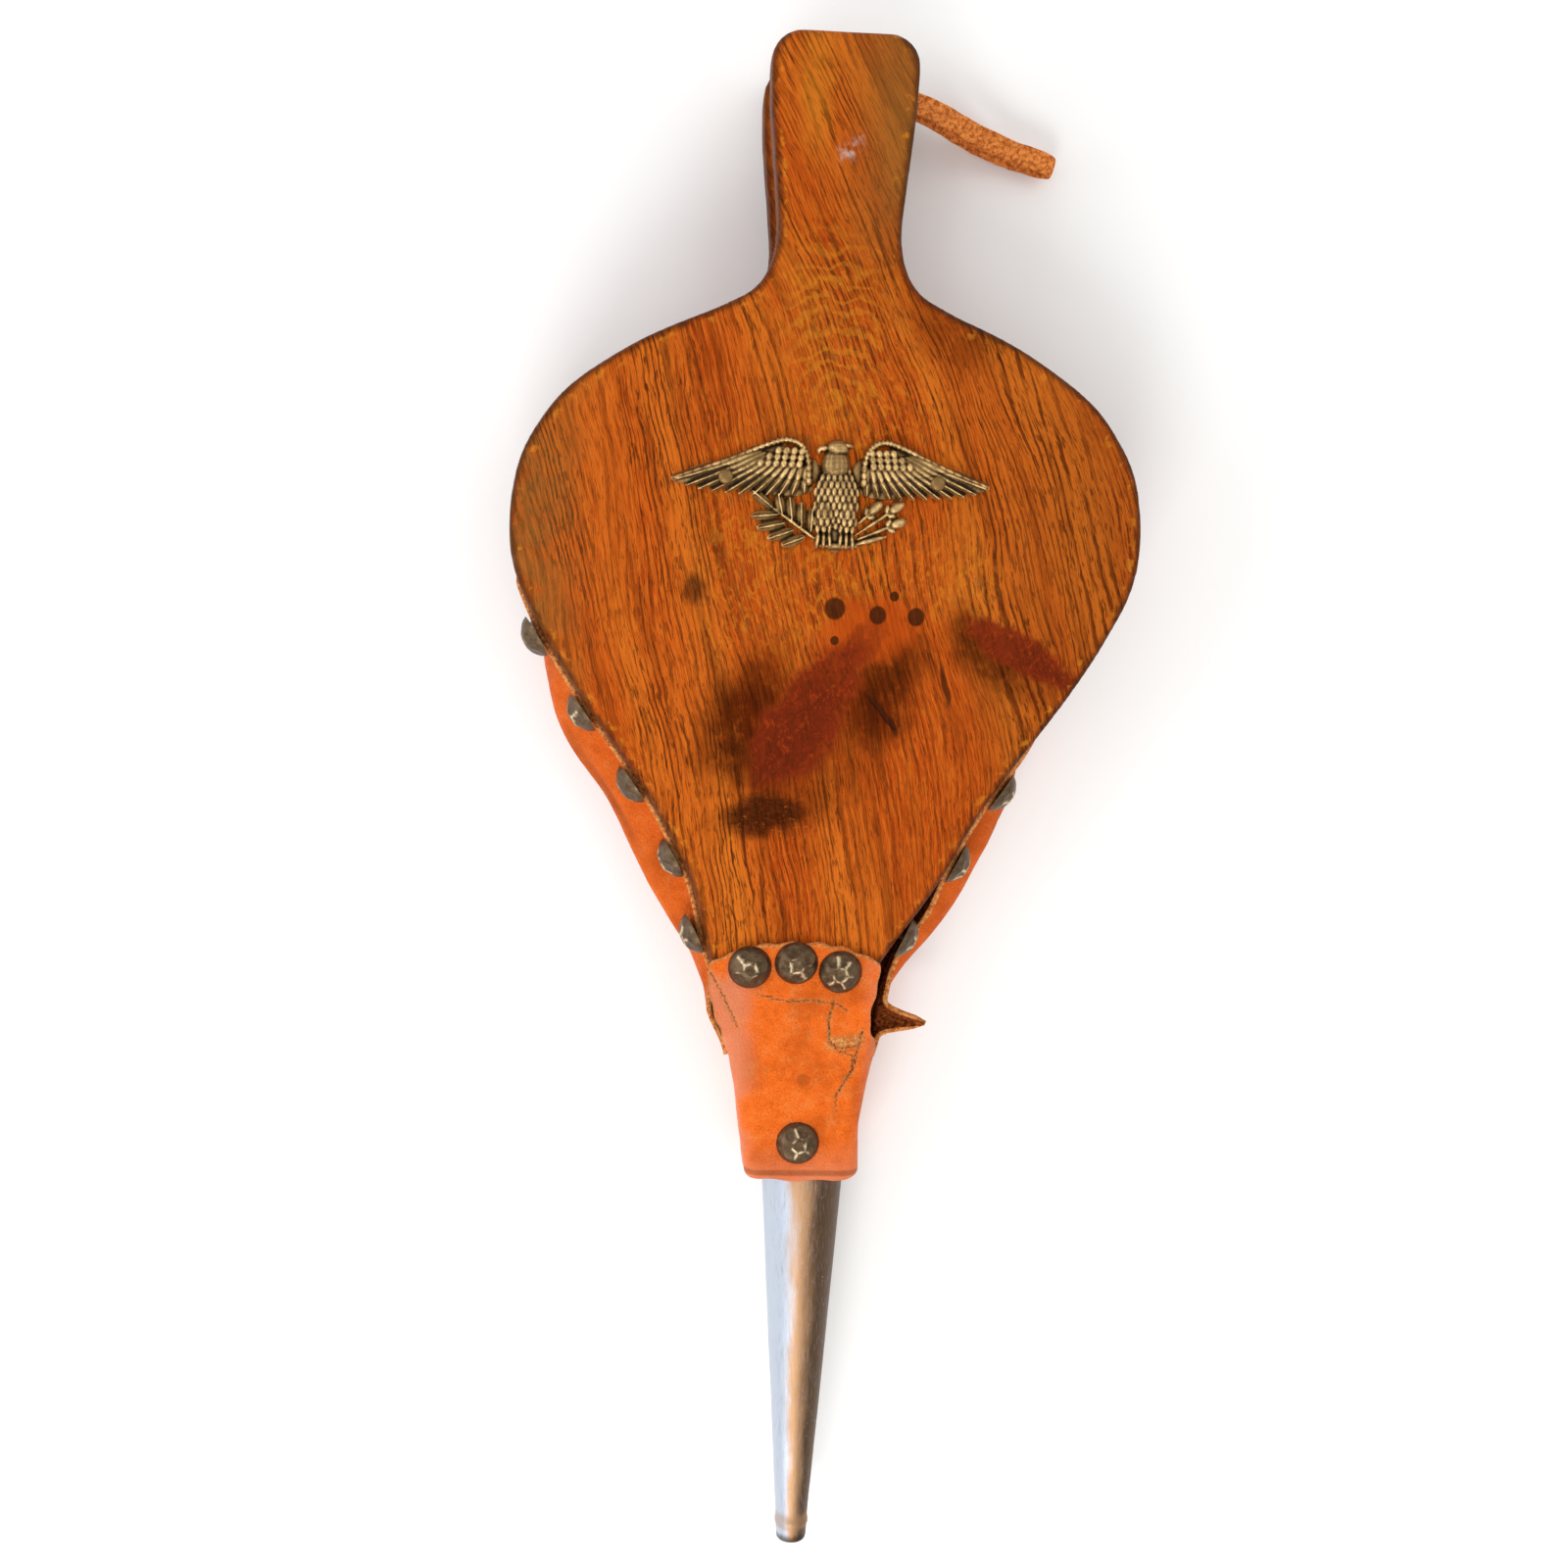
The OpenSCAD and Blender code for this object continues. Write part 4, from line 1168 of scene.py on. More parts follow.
class BELLOWS_OT_gusset(bpy.types.Operator):
    """The one strip of leather between the boards, from the nose round the back and to the nose again"""

    bl_idname = "bellows.gusset"
    bl_label = "Gusset"

    def execute(self, context):
        self.s = context.scene.bellows_leather
        corners = path_side() + [(22, 149), (15, 153), (8, 155), (0, 156)]
        path = resampled(curve_through(corners, 6), STATION)
        right = [self.section(path, i, 1) for i in range(len(path))]
        left = [self.section(path, i, -1) for i in range(len(path) - 1)]
        sections = right + left[::-1]
        skin = sheet_of("gusset_leather", [[p for p, _, _, _ in row] for row in sections])
        mark(skin, "worn", [worn for row in sections for _, _, worn, _ in row])
        mark(skin, "crease", [crease for row in sections for _, _, _, crease in row])
        with editing(skin):
            bpy.ops.mesh.select_all(action="SELECT")
            bpy.ops.mesh.normals_make_consistent(inside=False)
        self.face_out(skin)
        smooth(skin)
        modify(skin, "SUBSURF", levels=1, render_levels=1)
        modify(skin, "SOLIDIFY", thickness=self.s.thickness, offset=0, material_offset=1, material_offset_rim=2)
        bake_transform(skin)
        hand_over(
            skin, [look("leather"), look("flesh_leather"), look("raw_leather")], "leather", None,
            "gusset", "gusset_upper_margin", "flange_lower", "flange_upper",
        )
        return {"FINISHED"}

    def face_out(self, skin):
        """Turns the sheet so that its grain side is the outer one."""
        for f in skin.data.polygons:
            if abs(f.center.y) < 20 * MM and abs(f.center.x) > 50 * MM:
                if f.normal.x * f.center.x < 0:
                    skin.data.flip_normals()
                return

    def section(self, path, i, side):
        """One station of the strip, as points with their share of the upper board's turn, wear and painted crease
        shade.
        """
        x, y = path[i]
        t = path[min(i + 3, len(path) - 1)] - path[max(i - 3, 0)]
        normal = Vector((t.y, -t.x)).normalized()
        turn = TURN[side]
        amount, rise, fall = SWELL[side]
        inside = step(y, turn + 7, turn + TURN_LENGTH)
        lifted = step(y, turn - 6, turn + 8)
        out = mix(0.85, -6.2, inside * (1 - 0.5 * step(y, 138, 148)))
        crossing = step(y, 150, 154) * (1 - step(x, 12, 17))
        ledge = inside * max(1 - step(y, 128, 137), crossing)
        bulge = amount * self.s.bulge / MM * step(y, *rise) * (1 - step(y, *fall))
        fold = self.s.fold / MM * step(y, turn - 14, turn + 34) * (1 - 0.62 * step(y, 118, 150))
        high = underside(y)
        low = BOARD_T / MM
        nosed = step(y, -55, -63)
        tear = step(y, -64, -50) * (1 - step(y, -24, -8)) if side > 0 else 0.0
        rows = []

        def place(off, height, w=0.0, worn=0.0, crease=0.0):
            spot = Vector((side * x, y, height)) * MM
            wave = 0.45 * rough(spot, 16 * MM, side * 3) + 0.2 * rough(spot, 5 * MM, side * 5)
            loose = 1.0 if 0.02 < w < 0.98 else 0.2
            off = off + wave * loose * (1 - 0.6 * inside) * (1 - nosed)
            px, py = x + normal.x * off, y + normal.y * off
            rows.append((Vector((side * px + drift(y * MM) / MM, py, height)) * MM, w, worn, crease))

        feet = ((1.4, 9.6, 5.4), (5.5, 10.6, 3.2), (10.5, 12.0, 1.0))
        for k, (z, z_nose, reach) in enumerate(feet):
            height = mix(mix(z, z_nose, nosed), low + 0.85 + 0.05 * k, lifted)
            place(out + reach * ledge, height, worn=0.5 if k == 0 else 0)
        for k in range(LEAVES):
            u = (k + 0.5) / LEAVES
            arc = math.sin(math.pi * min(1.0, u * 1.08))
            pleat = self.pleat(u, y, side)
            tucked = 1 - abs(2 * u - 1)
            off = out + bulge * (arc**0.8 - 0.2 * pleat) - fold * tucked**0.9 + tear * 2.6 * step(u, 0.35, 1)
            lo_z, hi_z = mix(low - 0.5, low + 1.2, lifted), mix(high + 0.5, high - 1.2, lifted)
            # Painted shade along the fold where the strip turns in between the boards, and in the pleats of the bulging
            # wall.
            crease = 0.9 if lifted > 0.5 and abs(u - 0.5) < 0.05 else pleat * step(bulge, 1, 5)
            place(off, mix(lo_z, hi_z, u), w=self.share(u, side, tear), crease=crease)
        seam = self.upper_offset(x, y, tear)
        for part, lift, back in ((0.0, 1.0, 1.0), (0.5, 4.2, 3.2), (1.0, 7.8, 5.4)):
            off = mix(out + seam + tear * (3.0 + 0.6 * part), out + back, ledge if inside > 0.5 else 0)
            if inside > 0.5:
                off = out + back * ledge
            z = mix(high + lift * (1 - 0.5 * tear) * mix(0.5, 1, step(y, -60, -44)), high - 0.95, lifted)
            if side > 0:
                tip = math.exp(-(((y + 54.2) / 2.2) ** 2))
                off += tip * 17 * (0.15 + 0.85 * part)
                z += tip * (1.5 * part - 1)
            w = mix(1.0, 0.35, tear) if side > 0 else mix(0.6, 1.0, step(y, -58, -44))
            place(off, z, w=w, worn=(0.2 + 0.8 * part) * (0.4 + 0.6 * tear))
        return rows

    def pleat(self, u, y, side):
        """Two long creases that wander along the bulging wall, from 0 to 1."""
        if side > 0:
            return math.exp(-(((u - 0.45 - 0.10 * math.sin(y * 0.06)) / 0.09) ** 2))
        first = math.exp(-(((u - 0.36 - 0.06 * math.sin(y * 0.07)) / 0.07) ** 2))
        second = math.exp(-(((u - 0.66 + 0.05 * math.sin(y * 0.05 + 1)) / 0.07) ** 2))
        return first + second * (0.5 + 0.5 * math.sin(y * 0.11))

    def share(self, u, side, tear):
        """How much of the upper board's turn a point of the wall follows."""
        full = 1.0 if side < 0 else mix(1.0, 0.35, tear)
        return full * u

    def upper_offset(self, x, y, tear):
        """Distance between the two boards' edges at y, which the margin follows where it is nailed."""
        gap = at_y(UPPER_EDGE, y * MM) / MM - x
        return gap * step(y, -50, -40) * (1 - tear) if y < 60 else 0.0


# ---- Collar ----

# Near-black painted shade for the cracks and the band behind the collar's front lip; then the cracks in the collar's
# leather, each a line of (x, y) points and a depth in millimetres.
CRACK_SHADE = (0.07, 0.018, 0.006)
CRACKS = (
    (((-13, -45.6), (-6, -47.4), (2, -47.0), (8.8, -47.9), (12, -50)), 0.35),
    (((8.2, -47), (6.9, -53), (7.3, -58.7), (9.5, -61.2), (16, -60.4)), 0.6),
    (((16.8, -55.6), (15.5, -62), (14.2, -67.4), (12.4, -70), (9.8, -75)), 0.7),
    (((14.2, -67.4), (13.9, -63), (10.6, -62.2)), 0.35),
    (((9.8, -75), (9.6, -80)), 0.25),
    (((-28, -38), (-24.5, -44), (-19.3, -54.7)), 0.35),
)


def near_line(x, y, line):
    best = 1e9
    for (x0, y0), (x1, y1) in zip(line, line[1:]):
        dx, dy = x1 - x0, y1 - y0
        t = min(1.0, max(0.0, ((x - x0) * dx + (y - y0) * dy) / (dx * dx + dy * dy)))
        best = min(best, math.hypot(x - x0 - t * dx, y - y0 - t * dy))
    return best


class BELLOWS_OT_collar(bpy.types.Operator):
    """Leather sleeve round the nose, and its tongue on the upper board, which is the hinge"""

    bl_idname = "bellows.collar"
    bl_label = "Collar and flap"

    def execute(self, context):
        s = context.scene.bellows_leather
        sleeve = self.sleeve()
        with editing(sleeve):
            bpy.ops.mesh.select_all(action="SELECT")
            bpy.ops.mesh.normals_make_consistent(inside=False)
        modify(sleeve, "SUBSURF", levels=1, render_levels=1)
        apply_modifiers(sleeve)
        self.crack(sleeve)
        smooth(sleeve)
        modify(sleeve, "SOLIDIFY", thickness=s.thickness, offset=0, material_offset=1, material_offset_rim=2)
        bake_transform(sleeve)
        hand_over(
            sleeve, [look("collar_leather"), look("flesh_leather"), look("raw_leather")], "leather", None,
            "nose_collar", "collar_flap",
        )
        return {"FINISHED"}

    def outline(self, y):
        """Half width and the two heights of the sleeve's middle at y, in millimetres."""
        low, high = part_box("nose_block")
        stations = ((-99.4, 15.1), (-92, 15.3), (-84, 15.9), (-76, 17.0), (-68, 18.6), (-59.5, 20.8))
        half = stations[0][1]
        for (y0, x0), (y1, x1) in zip(stations, stations[1:]):
            if y > y0:
                half = mix(x0, x1, min(1.0, (y - y0) / (y1 - y0)))
        return half + 0.85, low.z / MM - 0.85, high.z / MM + 0.85

    def ring(self, y, shrink=0.0):
        """One round of the sleeve at y, from the seam underneath up the left side, across and down the right."""
        half, low, high = self.outline(y)
        corner = 4.0
        centre = Vector((0, 17.3))
        inner_x, low_c, high_c = half - corner, low + corner, high - corner
        points = []
        sides = ((0, -inner_x, low, low, 7), (-half, -half, low_c, high_c, 10), (-inner_x, inner_x, high, high, 32),
                 (half, half, high_c, low_c, 10), (inner_x, 0, low, low, 7))
        corners = (
            (-inner_x, low_c, 270, 180), (-inner_x, high_c, 180, 90),
            (inner_x, high_c, 90, 0), (inner_x, low_c, 0, -90),
        )
        for k, (x0, x1, z0, z1, n) in enumerate(sides):
            points += [Vector((mix(x0, x1, i / n), mix(z0, z1, i / n))) for i in range(n + 1)]
            if k < 4:
                cx, cz, a0, a1 = corners[k]
                for i in range(1, 4):
                    a = math.radians(mix(a0, a1, i / 4))
                    points.append(Vector((cx + corner * math.cos(a), cz + corner * math.sin(a))))
        if shrink:
            opening = 12.9
            points = [p.lerp(centre + (p - centre).normalized() * opening, shrink) for p in points]
        return points

    def sleeve(self):
        grid = []
        front = -99.9
        lip = (
            (front + 0.9, 0.98), (front + 0.35, 0.9), (front, 0.72),
            (front - 0.1, 0.45), (front + 0.15, 0.2), (front + 0.9, 0.05),
        )
        for y, shrink in lip:
            lean = drift(y * MM) / MM * (1 - shrink)
            row = self.ring(-99.4, shrink)
            grid.append([Vector((p.x + lean, y + 0.25 * math.sin(p.x * 0.5), p.y)) for p in row])
        y = front + 2.2
        while y < HINGE.y / MM - 1.5:
            grid.append([Vector((p.x + drift(y * MM) / MM, y, p.y)) for p in self.ring(y)])
            y += 1.5
        n = len(grid[0])
        points = [p for row in grid for p in row]
        faces = []
        for i in range(len(grid) - 1):
            for k in range(n - 1):
                quad = (i * n + k, i * n + k + 1, (i + 1) * n + k + 1, (i + 1) * n + k)
                middle = sum((points[v] for v in quad), Vector()) / 4
                if middle.y > -74.4 and middle.z < 8.6:
                    continue
                faces.append(quad)
        tongue = [k for k, p in enumerate(grid[-1]) if p.z > underside(-58) + BOARD_T / MM - 3.4]
        before = [(len(grid) - 1) * n + k for k in tongue]
        rows = 20
        for j in range(1, rows + 1):
            v = j / rows
            now = []
            for k, index in zip(tongue, before):
                base = grid[-1][k]
                share = (base.x - drift(base.y * MM) / MM) / 21.4
                end = -30.2 - 5.6 * abs(share) ** 2.4 + 0.4 * math.sin(base.x * 0.9)
                y = mix(base.y, end, v)
                spread = mix(21.2, 24.5, step(y, -60, -38)) * (1 - 0.035 * step(y, -40, -34))
                x = share * spread + 0.25 * math.sin(y * 0.8) * share + drift(y * MM) / MM
                lifted = UPPER @ Vector((x * MM, y * MM, 0.85 * MM)) / MM
                droop = mix(base.z, lifted.z, step(v, 0.0, 0.16))
                points.append(Vector((x, lifted.y, droop)))
                now.append(len(points) - 1)
            faces += [(before[i], before[i + 1], now[i + 1], now[i]) for i in range(len(now) - 1)]
            before = now
        mesh = bpy.data.meshes.new("collar_leather_sleeve")
        mesh.from_pydata([p * MM for p in points], [], faces)
        made = bpy.data.objects.new("collar_sleeve", mesh)
        bpy.context.scene.collection.objects.link(made)
        with editing(made):
            bpy.ops.mesh.select_all(action="SELECT")
            bpy.ops.mesh.delete_loose(use_verts=True, use_edges=False, use_faces=False)
        return made

    def crack(self, sleeve):
        """Cuts the cracks in as grooves, lifts their lips, and marks them and the frayed rims for the material."""
        mesh = bmesh.new()
        mesh.from_mesh(sleeve.data)
        rim = {v.index for v in mesh.verts if v.is_boundary}
        near_rim = {w.index for v in mesh.verts if v.is_boundary for e in v.link_edges for w in e.verts}
        mesh.free()
        worn = []
        for v in sleeve.data.vertices:
            p = v.co / MM
            frayed = 0.0
            if v.normal.z > 0.3 and p.z > 24:
                shake = 0.5 * rough(v.co, 2.5 * MM, 3) + 0.3 * rough(v.co, 1.0 * MM, 5)
                for line, depth in CRACKS:
                    far = abs(near_line(p.x - MARKS_X, p.y, line) + shake)
                    frayed = max(frayed, (1 - step(far, 0.2, 1.3)) * min(0.7, depth))
                    v.co -= v.normal * depth * (1 - step(far, 0, 0.9)) * MM
                lip = 1 - step(near_line(p.x - MARKS_X, p.y, ((8, -59.5), (15.5, -58.6))), 0.6, 2.6)
                frayed = max(frayed, lip)
                v.co += v.normal * 0.35 * lip * MM
            if v.index in near_rim:
                frayed = max(frayed, 0.5 if v.index not in rim else 0.9)
            v.co += v.normal * MM * (0.22 * rough(v.co, 9 * MM, 2) + 0.08 * rough(v.co, 3 * MM, 4))
            worn.append(frayed)
        mark(sleeve, "crease", [0.0] * len(worn))
        mark(sleeve, "worn", worn)
        sleeve.data.update()


# ---- Nails and tacks ----


def fasteners(node):
    """The place and direction of each fastener in a CAD node: its shank's tip and a unit vector to its head."""
    mesh = bmesh.new()
    mesh.from_mesh(frame["nodes"][node].data)
    bmesh.ops.remove_doubles(mesh, verts=mesh.verts, dist=0.01 * MM)
    left, found = set(mesh.verts), []
    while left:
        group, edge = set(), [left.pop()]
        while edge:
            v = edge.pop()
            group.add(v)
            for e in v.link_edges:
                w = e.other_vert(v)
                if w in left:
                    left.discard(w)
                    edge.append(w)
        middle = sum((v.co for v in group), Vector()) / len(group)
        tip = max(group, key=lambda v: (v.co - middle).length).co.copy()
        close = [v.co for v in group if (v.co - tip).length < 2 * MM]
        tip = sum(close, Vector()) / len(close)
        axis = (middle - tip).normalized()
        found.append((tip, axis, max((v.co - tip).dot(axis) for v in group)))
    mesh.free()
    return sorted(found, key=lambda f: f[0].y)


def hammered_head(name, s, seed):
    """A domed head struck into flat dents, with its shank, its flat side on z = 0, and the ridges marked."""
    draw = random.Random(seed)
    radius, height = s.head_radius, s.head_height
    dome = (radius**2 + height**2) / (2 * height)
    centre = Vector((0, 0, height - dome))
    head = add("uv_sphere", name, segments=72, ring_count=56, radius=dome, location=centre)
    settle(head)
    with editing(head):
        bpy.ops.mesh.select_all(action="SELECT")
        bpy.ops.mesh.bisect(plane_co=(0, 0, 0), plane_no=(0, 0, 1), clear_inner=True, use_fill=True)
        pick(head, "faces", lambda f: f.normal.z < -0.9)
        bpy.ops.mesh.inset(thickness=radius - 1.2 * MM)
        bpy.ops.mesh.extrude_region_move(TRANSFORM_OT_translate={"value": (0, 0, -7 * MM)})
        bpy.ops.transform.resize(value=(0.3, 0.3, 1), center_override=(0, 0, -7 * MM))
    count = draw.choice((5, 5, 6))
    first = draw.uniform(0, 2 * math.pi)
    blows = [(0.03, first, 0.34)]
    for k in range(count):
        turn = first + 2 * math.pi * k / count + draw.uniform(-0.28, 0.28)
        blows.append((math.radians(draw.uniform(30, 40)), turn, draw.uniform(0.4, 0.52)))
    balls = []
    for tilt, turn, bite in blows:
        ball = draw.uniform(9, 13) * MM
        way = Vector((math.sin(tilt) * math.cos(turn), math.sin(tilt) * math.sin(turn), math.cos(tilt)))
        place = centre + way * (dome + ball - bite * MM)
        balls.append((place, ball))
        hammer = add("ico_sphere", "hammer", subdivisions=5, radius=ball, location=place)
        modify(head, "BOOLEAN", operation="DIFFERENCE", object=hammer, solver="EXACT")
        apply_modifiers(head)
        removed(hammer)
    modify(head, "BEVEL", width=0.12 * MM, segments=2, limit_method="ANGLE", angle_limit=math.radians(9))
    apply_modifiers(head)
    ridges = []
    for v in head.data.vertices:
        near = sorted((v.co - place).length - ball for place, ball in balls)
        ridges.append(1 - step(near[1], 0.06 * MM, 0.34 * MM))
    mark(head, "ridge", ridges)
    smooth(head, 30)
    return head


NAIL_NODES = {
    "collar_nail": "lower", "flap_nails": "upper", "upper_nails_left": "upper", "upper_nails_right": "upper",
    "lower_nails_left": "lower", "lower_nails_right": "lower",
}


class BELLOWS_OT_nails(bpy.types.Operator):
    """Hammered upholstery nails, each turned its own way"""

    bl_idname = "bellows.nails"
    bl_label = "Nails"

    def execute(self, context):
        s = context.scene.bellows_metal
        heads = [hammered_head(f"head_{k}", s, 20 + k) for k in range(4)]
        draw = random.Random(5)
        for node, body in NAIL_NODES.items():
            parts = []
            for tip, axis, total in fasteners(node):
                nail = copied(draw.choice(heads), node)
                base = tip + axis * (total - s.head_height)
                turn = Matrix.Rotation(draw.uniform(0, 2 * math.pi), 4, "Z")
                aim = Vector((0, 0, 1)).rotation_difference(axis).to_matrix().to_4x4()
                nail.data.transform(Matrix.Translation(base) @ aim @ turn)
                parts.append(nail)
            piece = joined(f"{node}_hammered", parts)
            hand_over(piece, [look("hammered_bronze")], "nail_metal", body, node)
        removed(*heads)
        for node in ("collar_tacks", "flange_tacks_upper", "flange_tacks_lower", "valve_tacks"):
            tacks = frame["nodes"][node]
            tacks.data.materials.clear()
            tacks.data.materials.append(look("hammered_bronze"))
            modify(tacks, "BEVEL", width=0.3 * MM, segments=2, limit_method="ANGLE")
        return {"FINISHED"}


# ---- Ornament ----


def laid(seed, name, a, b, width, height, base=0.0):
    """A copy of a seed-shaped lump laid from a to b on the ornament's ground, in millimetres."""
    a, b = Vector((*a, base)), Vector((*b, base))
    part = copied(seed, name)
    half = (b - a).length / 2
    place = Matrix.Translation((a + b) / 2) @ Matrix.Rotation(math.atan2(b.y - a.y, b.x - a.x), 4, "Z")
    part.data.transform(place @ Matrix.Diagonal((half, width / 2, height, 1)))
    return part


class BELLOWS_OT_ornament(bpy.types.Operator):
    """Cast bird with spread wings over two leafy sprigs, and the pins that hold it"""

    bl_idname = "bellows.ornament"
    bl_label = "Ornament"

    def execute(self, context):
        seed = add("uv_sphere", "seed", segments=16, ring_count=12, radius=1, rotation=(0, math.pi / 2, 0))
        settle(seed)
        low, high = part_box("ornament")
        middle = UPPER_INV @ ((low + high) / 2) / MM
        self.parts = []
        self.seed = seed
        self.body()
        for side in (-1, 1):
            self.wing(side)
        self.sprigs()
        bird = joined("bird_casting", self.parts)
        removed(seed)
        bird.data.transform(Matrix.Translation((0, middle.y + 0.5, 0)))
        modify(bird, "REMESH", mode="VOXEL", voxel_size=0.25)
        modify(bird, "SMOOTH", factor=0.5, iterations=2)
        apply_modifiers(bird)
        with editing(bird):
            bpy.ops.mesh.select_all(action="SELECT")
            bpy.ops.mesh.bisect(plane_co=(0, 0, 0.02), plane_no=(0, 0, 1), clear_inner=True, use_fill=True)
        bird.data.transform(Matrix.Scale(MM, 4))
        mark(bird, "ridge", relief_of(bird, 14) / MM)
        sculpt(bird, lambda p, n: n * MM * (0.07 * rough(p, 1.2 * MM, 3) + 0.05 * rough(p, 0.6 * MM, 1)))
        bird.data.transform(UPPER @ Matrix.Translation((0, 0, SKIN)))
        smooth(bird)
        hand_over(bird, [look("cast_brass")], "brass", "upper", "ornament")
        self.pins()
        return {"FINISHED"}

    def lump(self, a, b, width, height, base=0.0):
        self.parts.append(laid(self.seed, "lump", a, b, width, height, base))

    def body(self):
        """Breast, neck, head with its beak to the left, thighs, feet on a short bar, and the tail under them."""
        self.lump((1.4, -9.5), (1.4, 8.5), 12.4, 4.0)
        self.lump((1.2, 3), (0.9, 13.6), 8.0, 3.7)
        self.lump((-2.0, 13.0), (4.8, 13.1), 4.8, 3.8)
        self.lump((-4.2, 12.5), (-0.8, 13.2), 2.0, 2.6)
        self.lump((-4.0, 13.0), (-3.5, 11.2), 1.1, 2.0)
        self.lump((2.0, 14.2), (5.8, 13.4), 1.6, 3.0)
        self.lump((1.5, -5), (1.5, -15.2), 7.0, 1.6)
        for x in (-1.7, 4.5):
            self.lump((x, 1.0), (x - 0.2, -9.8), 5.6, 4.6)
            for toe in (-1, 0, 1):
                self.lump((x + toe * 1.4, -9.2), (x + toe * 1.9, -14.4), 1.5, 3.2)
        self.lump((-4.4, -13.2), (8.2, -13.2), 2.4, 2.4)
        self.plumage(1.4, -0.5, 6.2, 9.2, 4.0, 9, 1.75)
        for x in (-1.8, 4.4):
            self.plumage(x, -4.4, 2.8, 5.4, 4.6, 5, 1.9)

    def plumage(self, x, y, half_width, half_length, height, rows, gap):
        """Small feathers over an oval lump, in staggered rows."""
        for row in range(rows):
            v = y + half_length * 0.9 - row * gap
            for k in range(-4, 5):
                u = k * 1.55 + (row % 2) * 0.77
                rest = 1 - (u / half_width) ** 2 - ((v - 1 - y) / half_length) ** 2
                if rest > 0.12:
                    self.lump((x + u, v), (x + u * 1.05, v - 2.7), 1.35, 0.75, height * math.sqrt(rest) - 0.25)

    def wing(self, side):
        """Long feathers that follow the leading edge, two rows of coverts over them, scales, and a thick rim."""
        root, stretch = (6.4, 1.01) if side < 0 else (8.8, 0.945)

        def put(a, b, width, height, base=0.0):
            a, b = ((side * (root + stretch * q[0]), q[1]) for q in (a, b))
            self.lump(a, b, width, height, base)

        for a, b, width, height in (
            ((0.2, 6.5), (20, 7.5), 13.5, 1.5), ((9, 6.2), (34, 4), 7.6, 1.4), ((-1.5, 2.2), (15, 3.2), 6.4, 1.4),
            ((24, 4.8), (37, 3.6), 4.0, 1.5), ((-3, 5), (4, 8), 8.0, 1.5),
        ):
            put(a, b, width, height)
        ends = ((36.2, 3.1), (33.2, 1.6), (29.8, 0.8), (26.2, 0.3), (22.5, 0.0), (18.8, -0.2), (15, -0.3), (11.4, -0.3),
                (7.8, -0.2), (4.4, 0.0), (1.0, 0.4))
        last = len(ends) - 1
        for k, end in enumerate(ends):
            f = k / last
            start = (mix(16.5, 0.8, f), mix(9.6, 5.6, f))
            put(start, end, 2.3, 1.5, 0.7)
            put((mix(start[0], end[0], 0.3), mix(start[1], end[1], 0.3)), end, 0.6, 0.8, 1.8)
            over = (mix(start[0], end[0], 0.42), mix(start[1], end[1], 0.42))
            put((mix(12.5, 0.6, f), mix(11.6, 8.6, f)), over, 2.1, 1.5, 1.2)
        for row, (y, count) in enumerate(((12.9, 4), (11.3, 5), (9.6, 6))):
            for k in range(count):
                x = 1.6 + k * 2.1 + row * 0.3
                put((x, y), (x + 0.7, y - 2.3), 1.9, 1.1, 2.1)
        edge = ((0.0, 2.5), (0.1, 9.5), (2.2, 13.6), (6.2, 14.9), (11, 13.5), (18, 10.5), (27, 6.9), (36.6, 3.6))
        rim = [Vector(q) for q in edge]
        rim = curve_through(rim, 4)
        for k, (a, b) in enumerate(zip(rim, rim[2:])):
            f = k / len(rim)
            put(a, b, mix(2.2, 1.3, f), mix(3.1, 1.9, f), 0.1)

    def sprigs(self):
        """A leafy sprig on the left, and one with three slim buds on the right."""
        self.lump((-3.0, -12.2), (-16.5, -3.0), 1.3, 2.0)
        leaves = (
            ((-13.0, -5.8), (-14.5, 0.6)), ((-10.4, -7.0), (-11.3, -0.2)), ((-7.8, -8.6), (-8.1, -1.6)),
            ((-5.2, -10.0), (-4.9, -3.0)), ((-14.0, -5.2), (-21.8, -6.0)), ((-12.0, -7.4), (-20.2, -9.2)),
            ((-9.6, -9.2), (-17.2, -12.0)), ((-6.6, -11.0), (-13.2, -13.6)), ((-15.6, -3.6), (-21.8, 1.2)),
        )
        for a, b in leaves:
            self.lump(a, b, 3.1, 2.0)
            self.lump(a, b, 0.6, 0.8, 1.7)
        for a, b in (((7, -11.6), (20.4, -6.0)), ((6.6, -10.6), (19.6, -1.4)), ((6.0, -8.6), (13.6, -1.6))):
            self.lump(a, b, 1.2, 1.8)
            way = (Vector(b) - Vector(a)).normalized()
            square = Vector((-way.y, way.x))
            b = Vector(b)
            self.lump(b - way * 4.6, b + way * 0.8, 3.2, 2.3)
            for side in (-1, 1):
                self.lump(b - way * 5.4, b - way * 3.2 + square * side * 2.0, 1.7, 1.9)
        self.lump((6.5, -12.9), (16, -10.2), 1.8, 1.9)

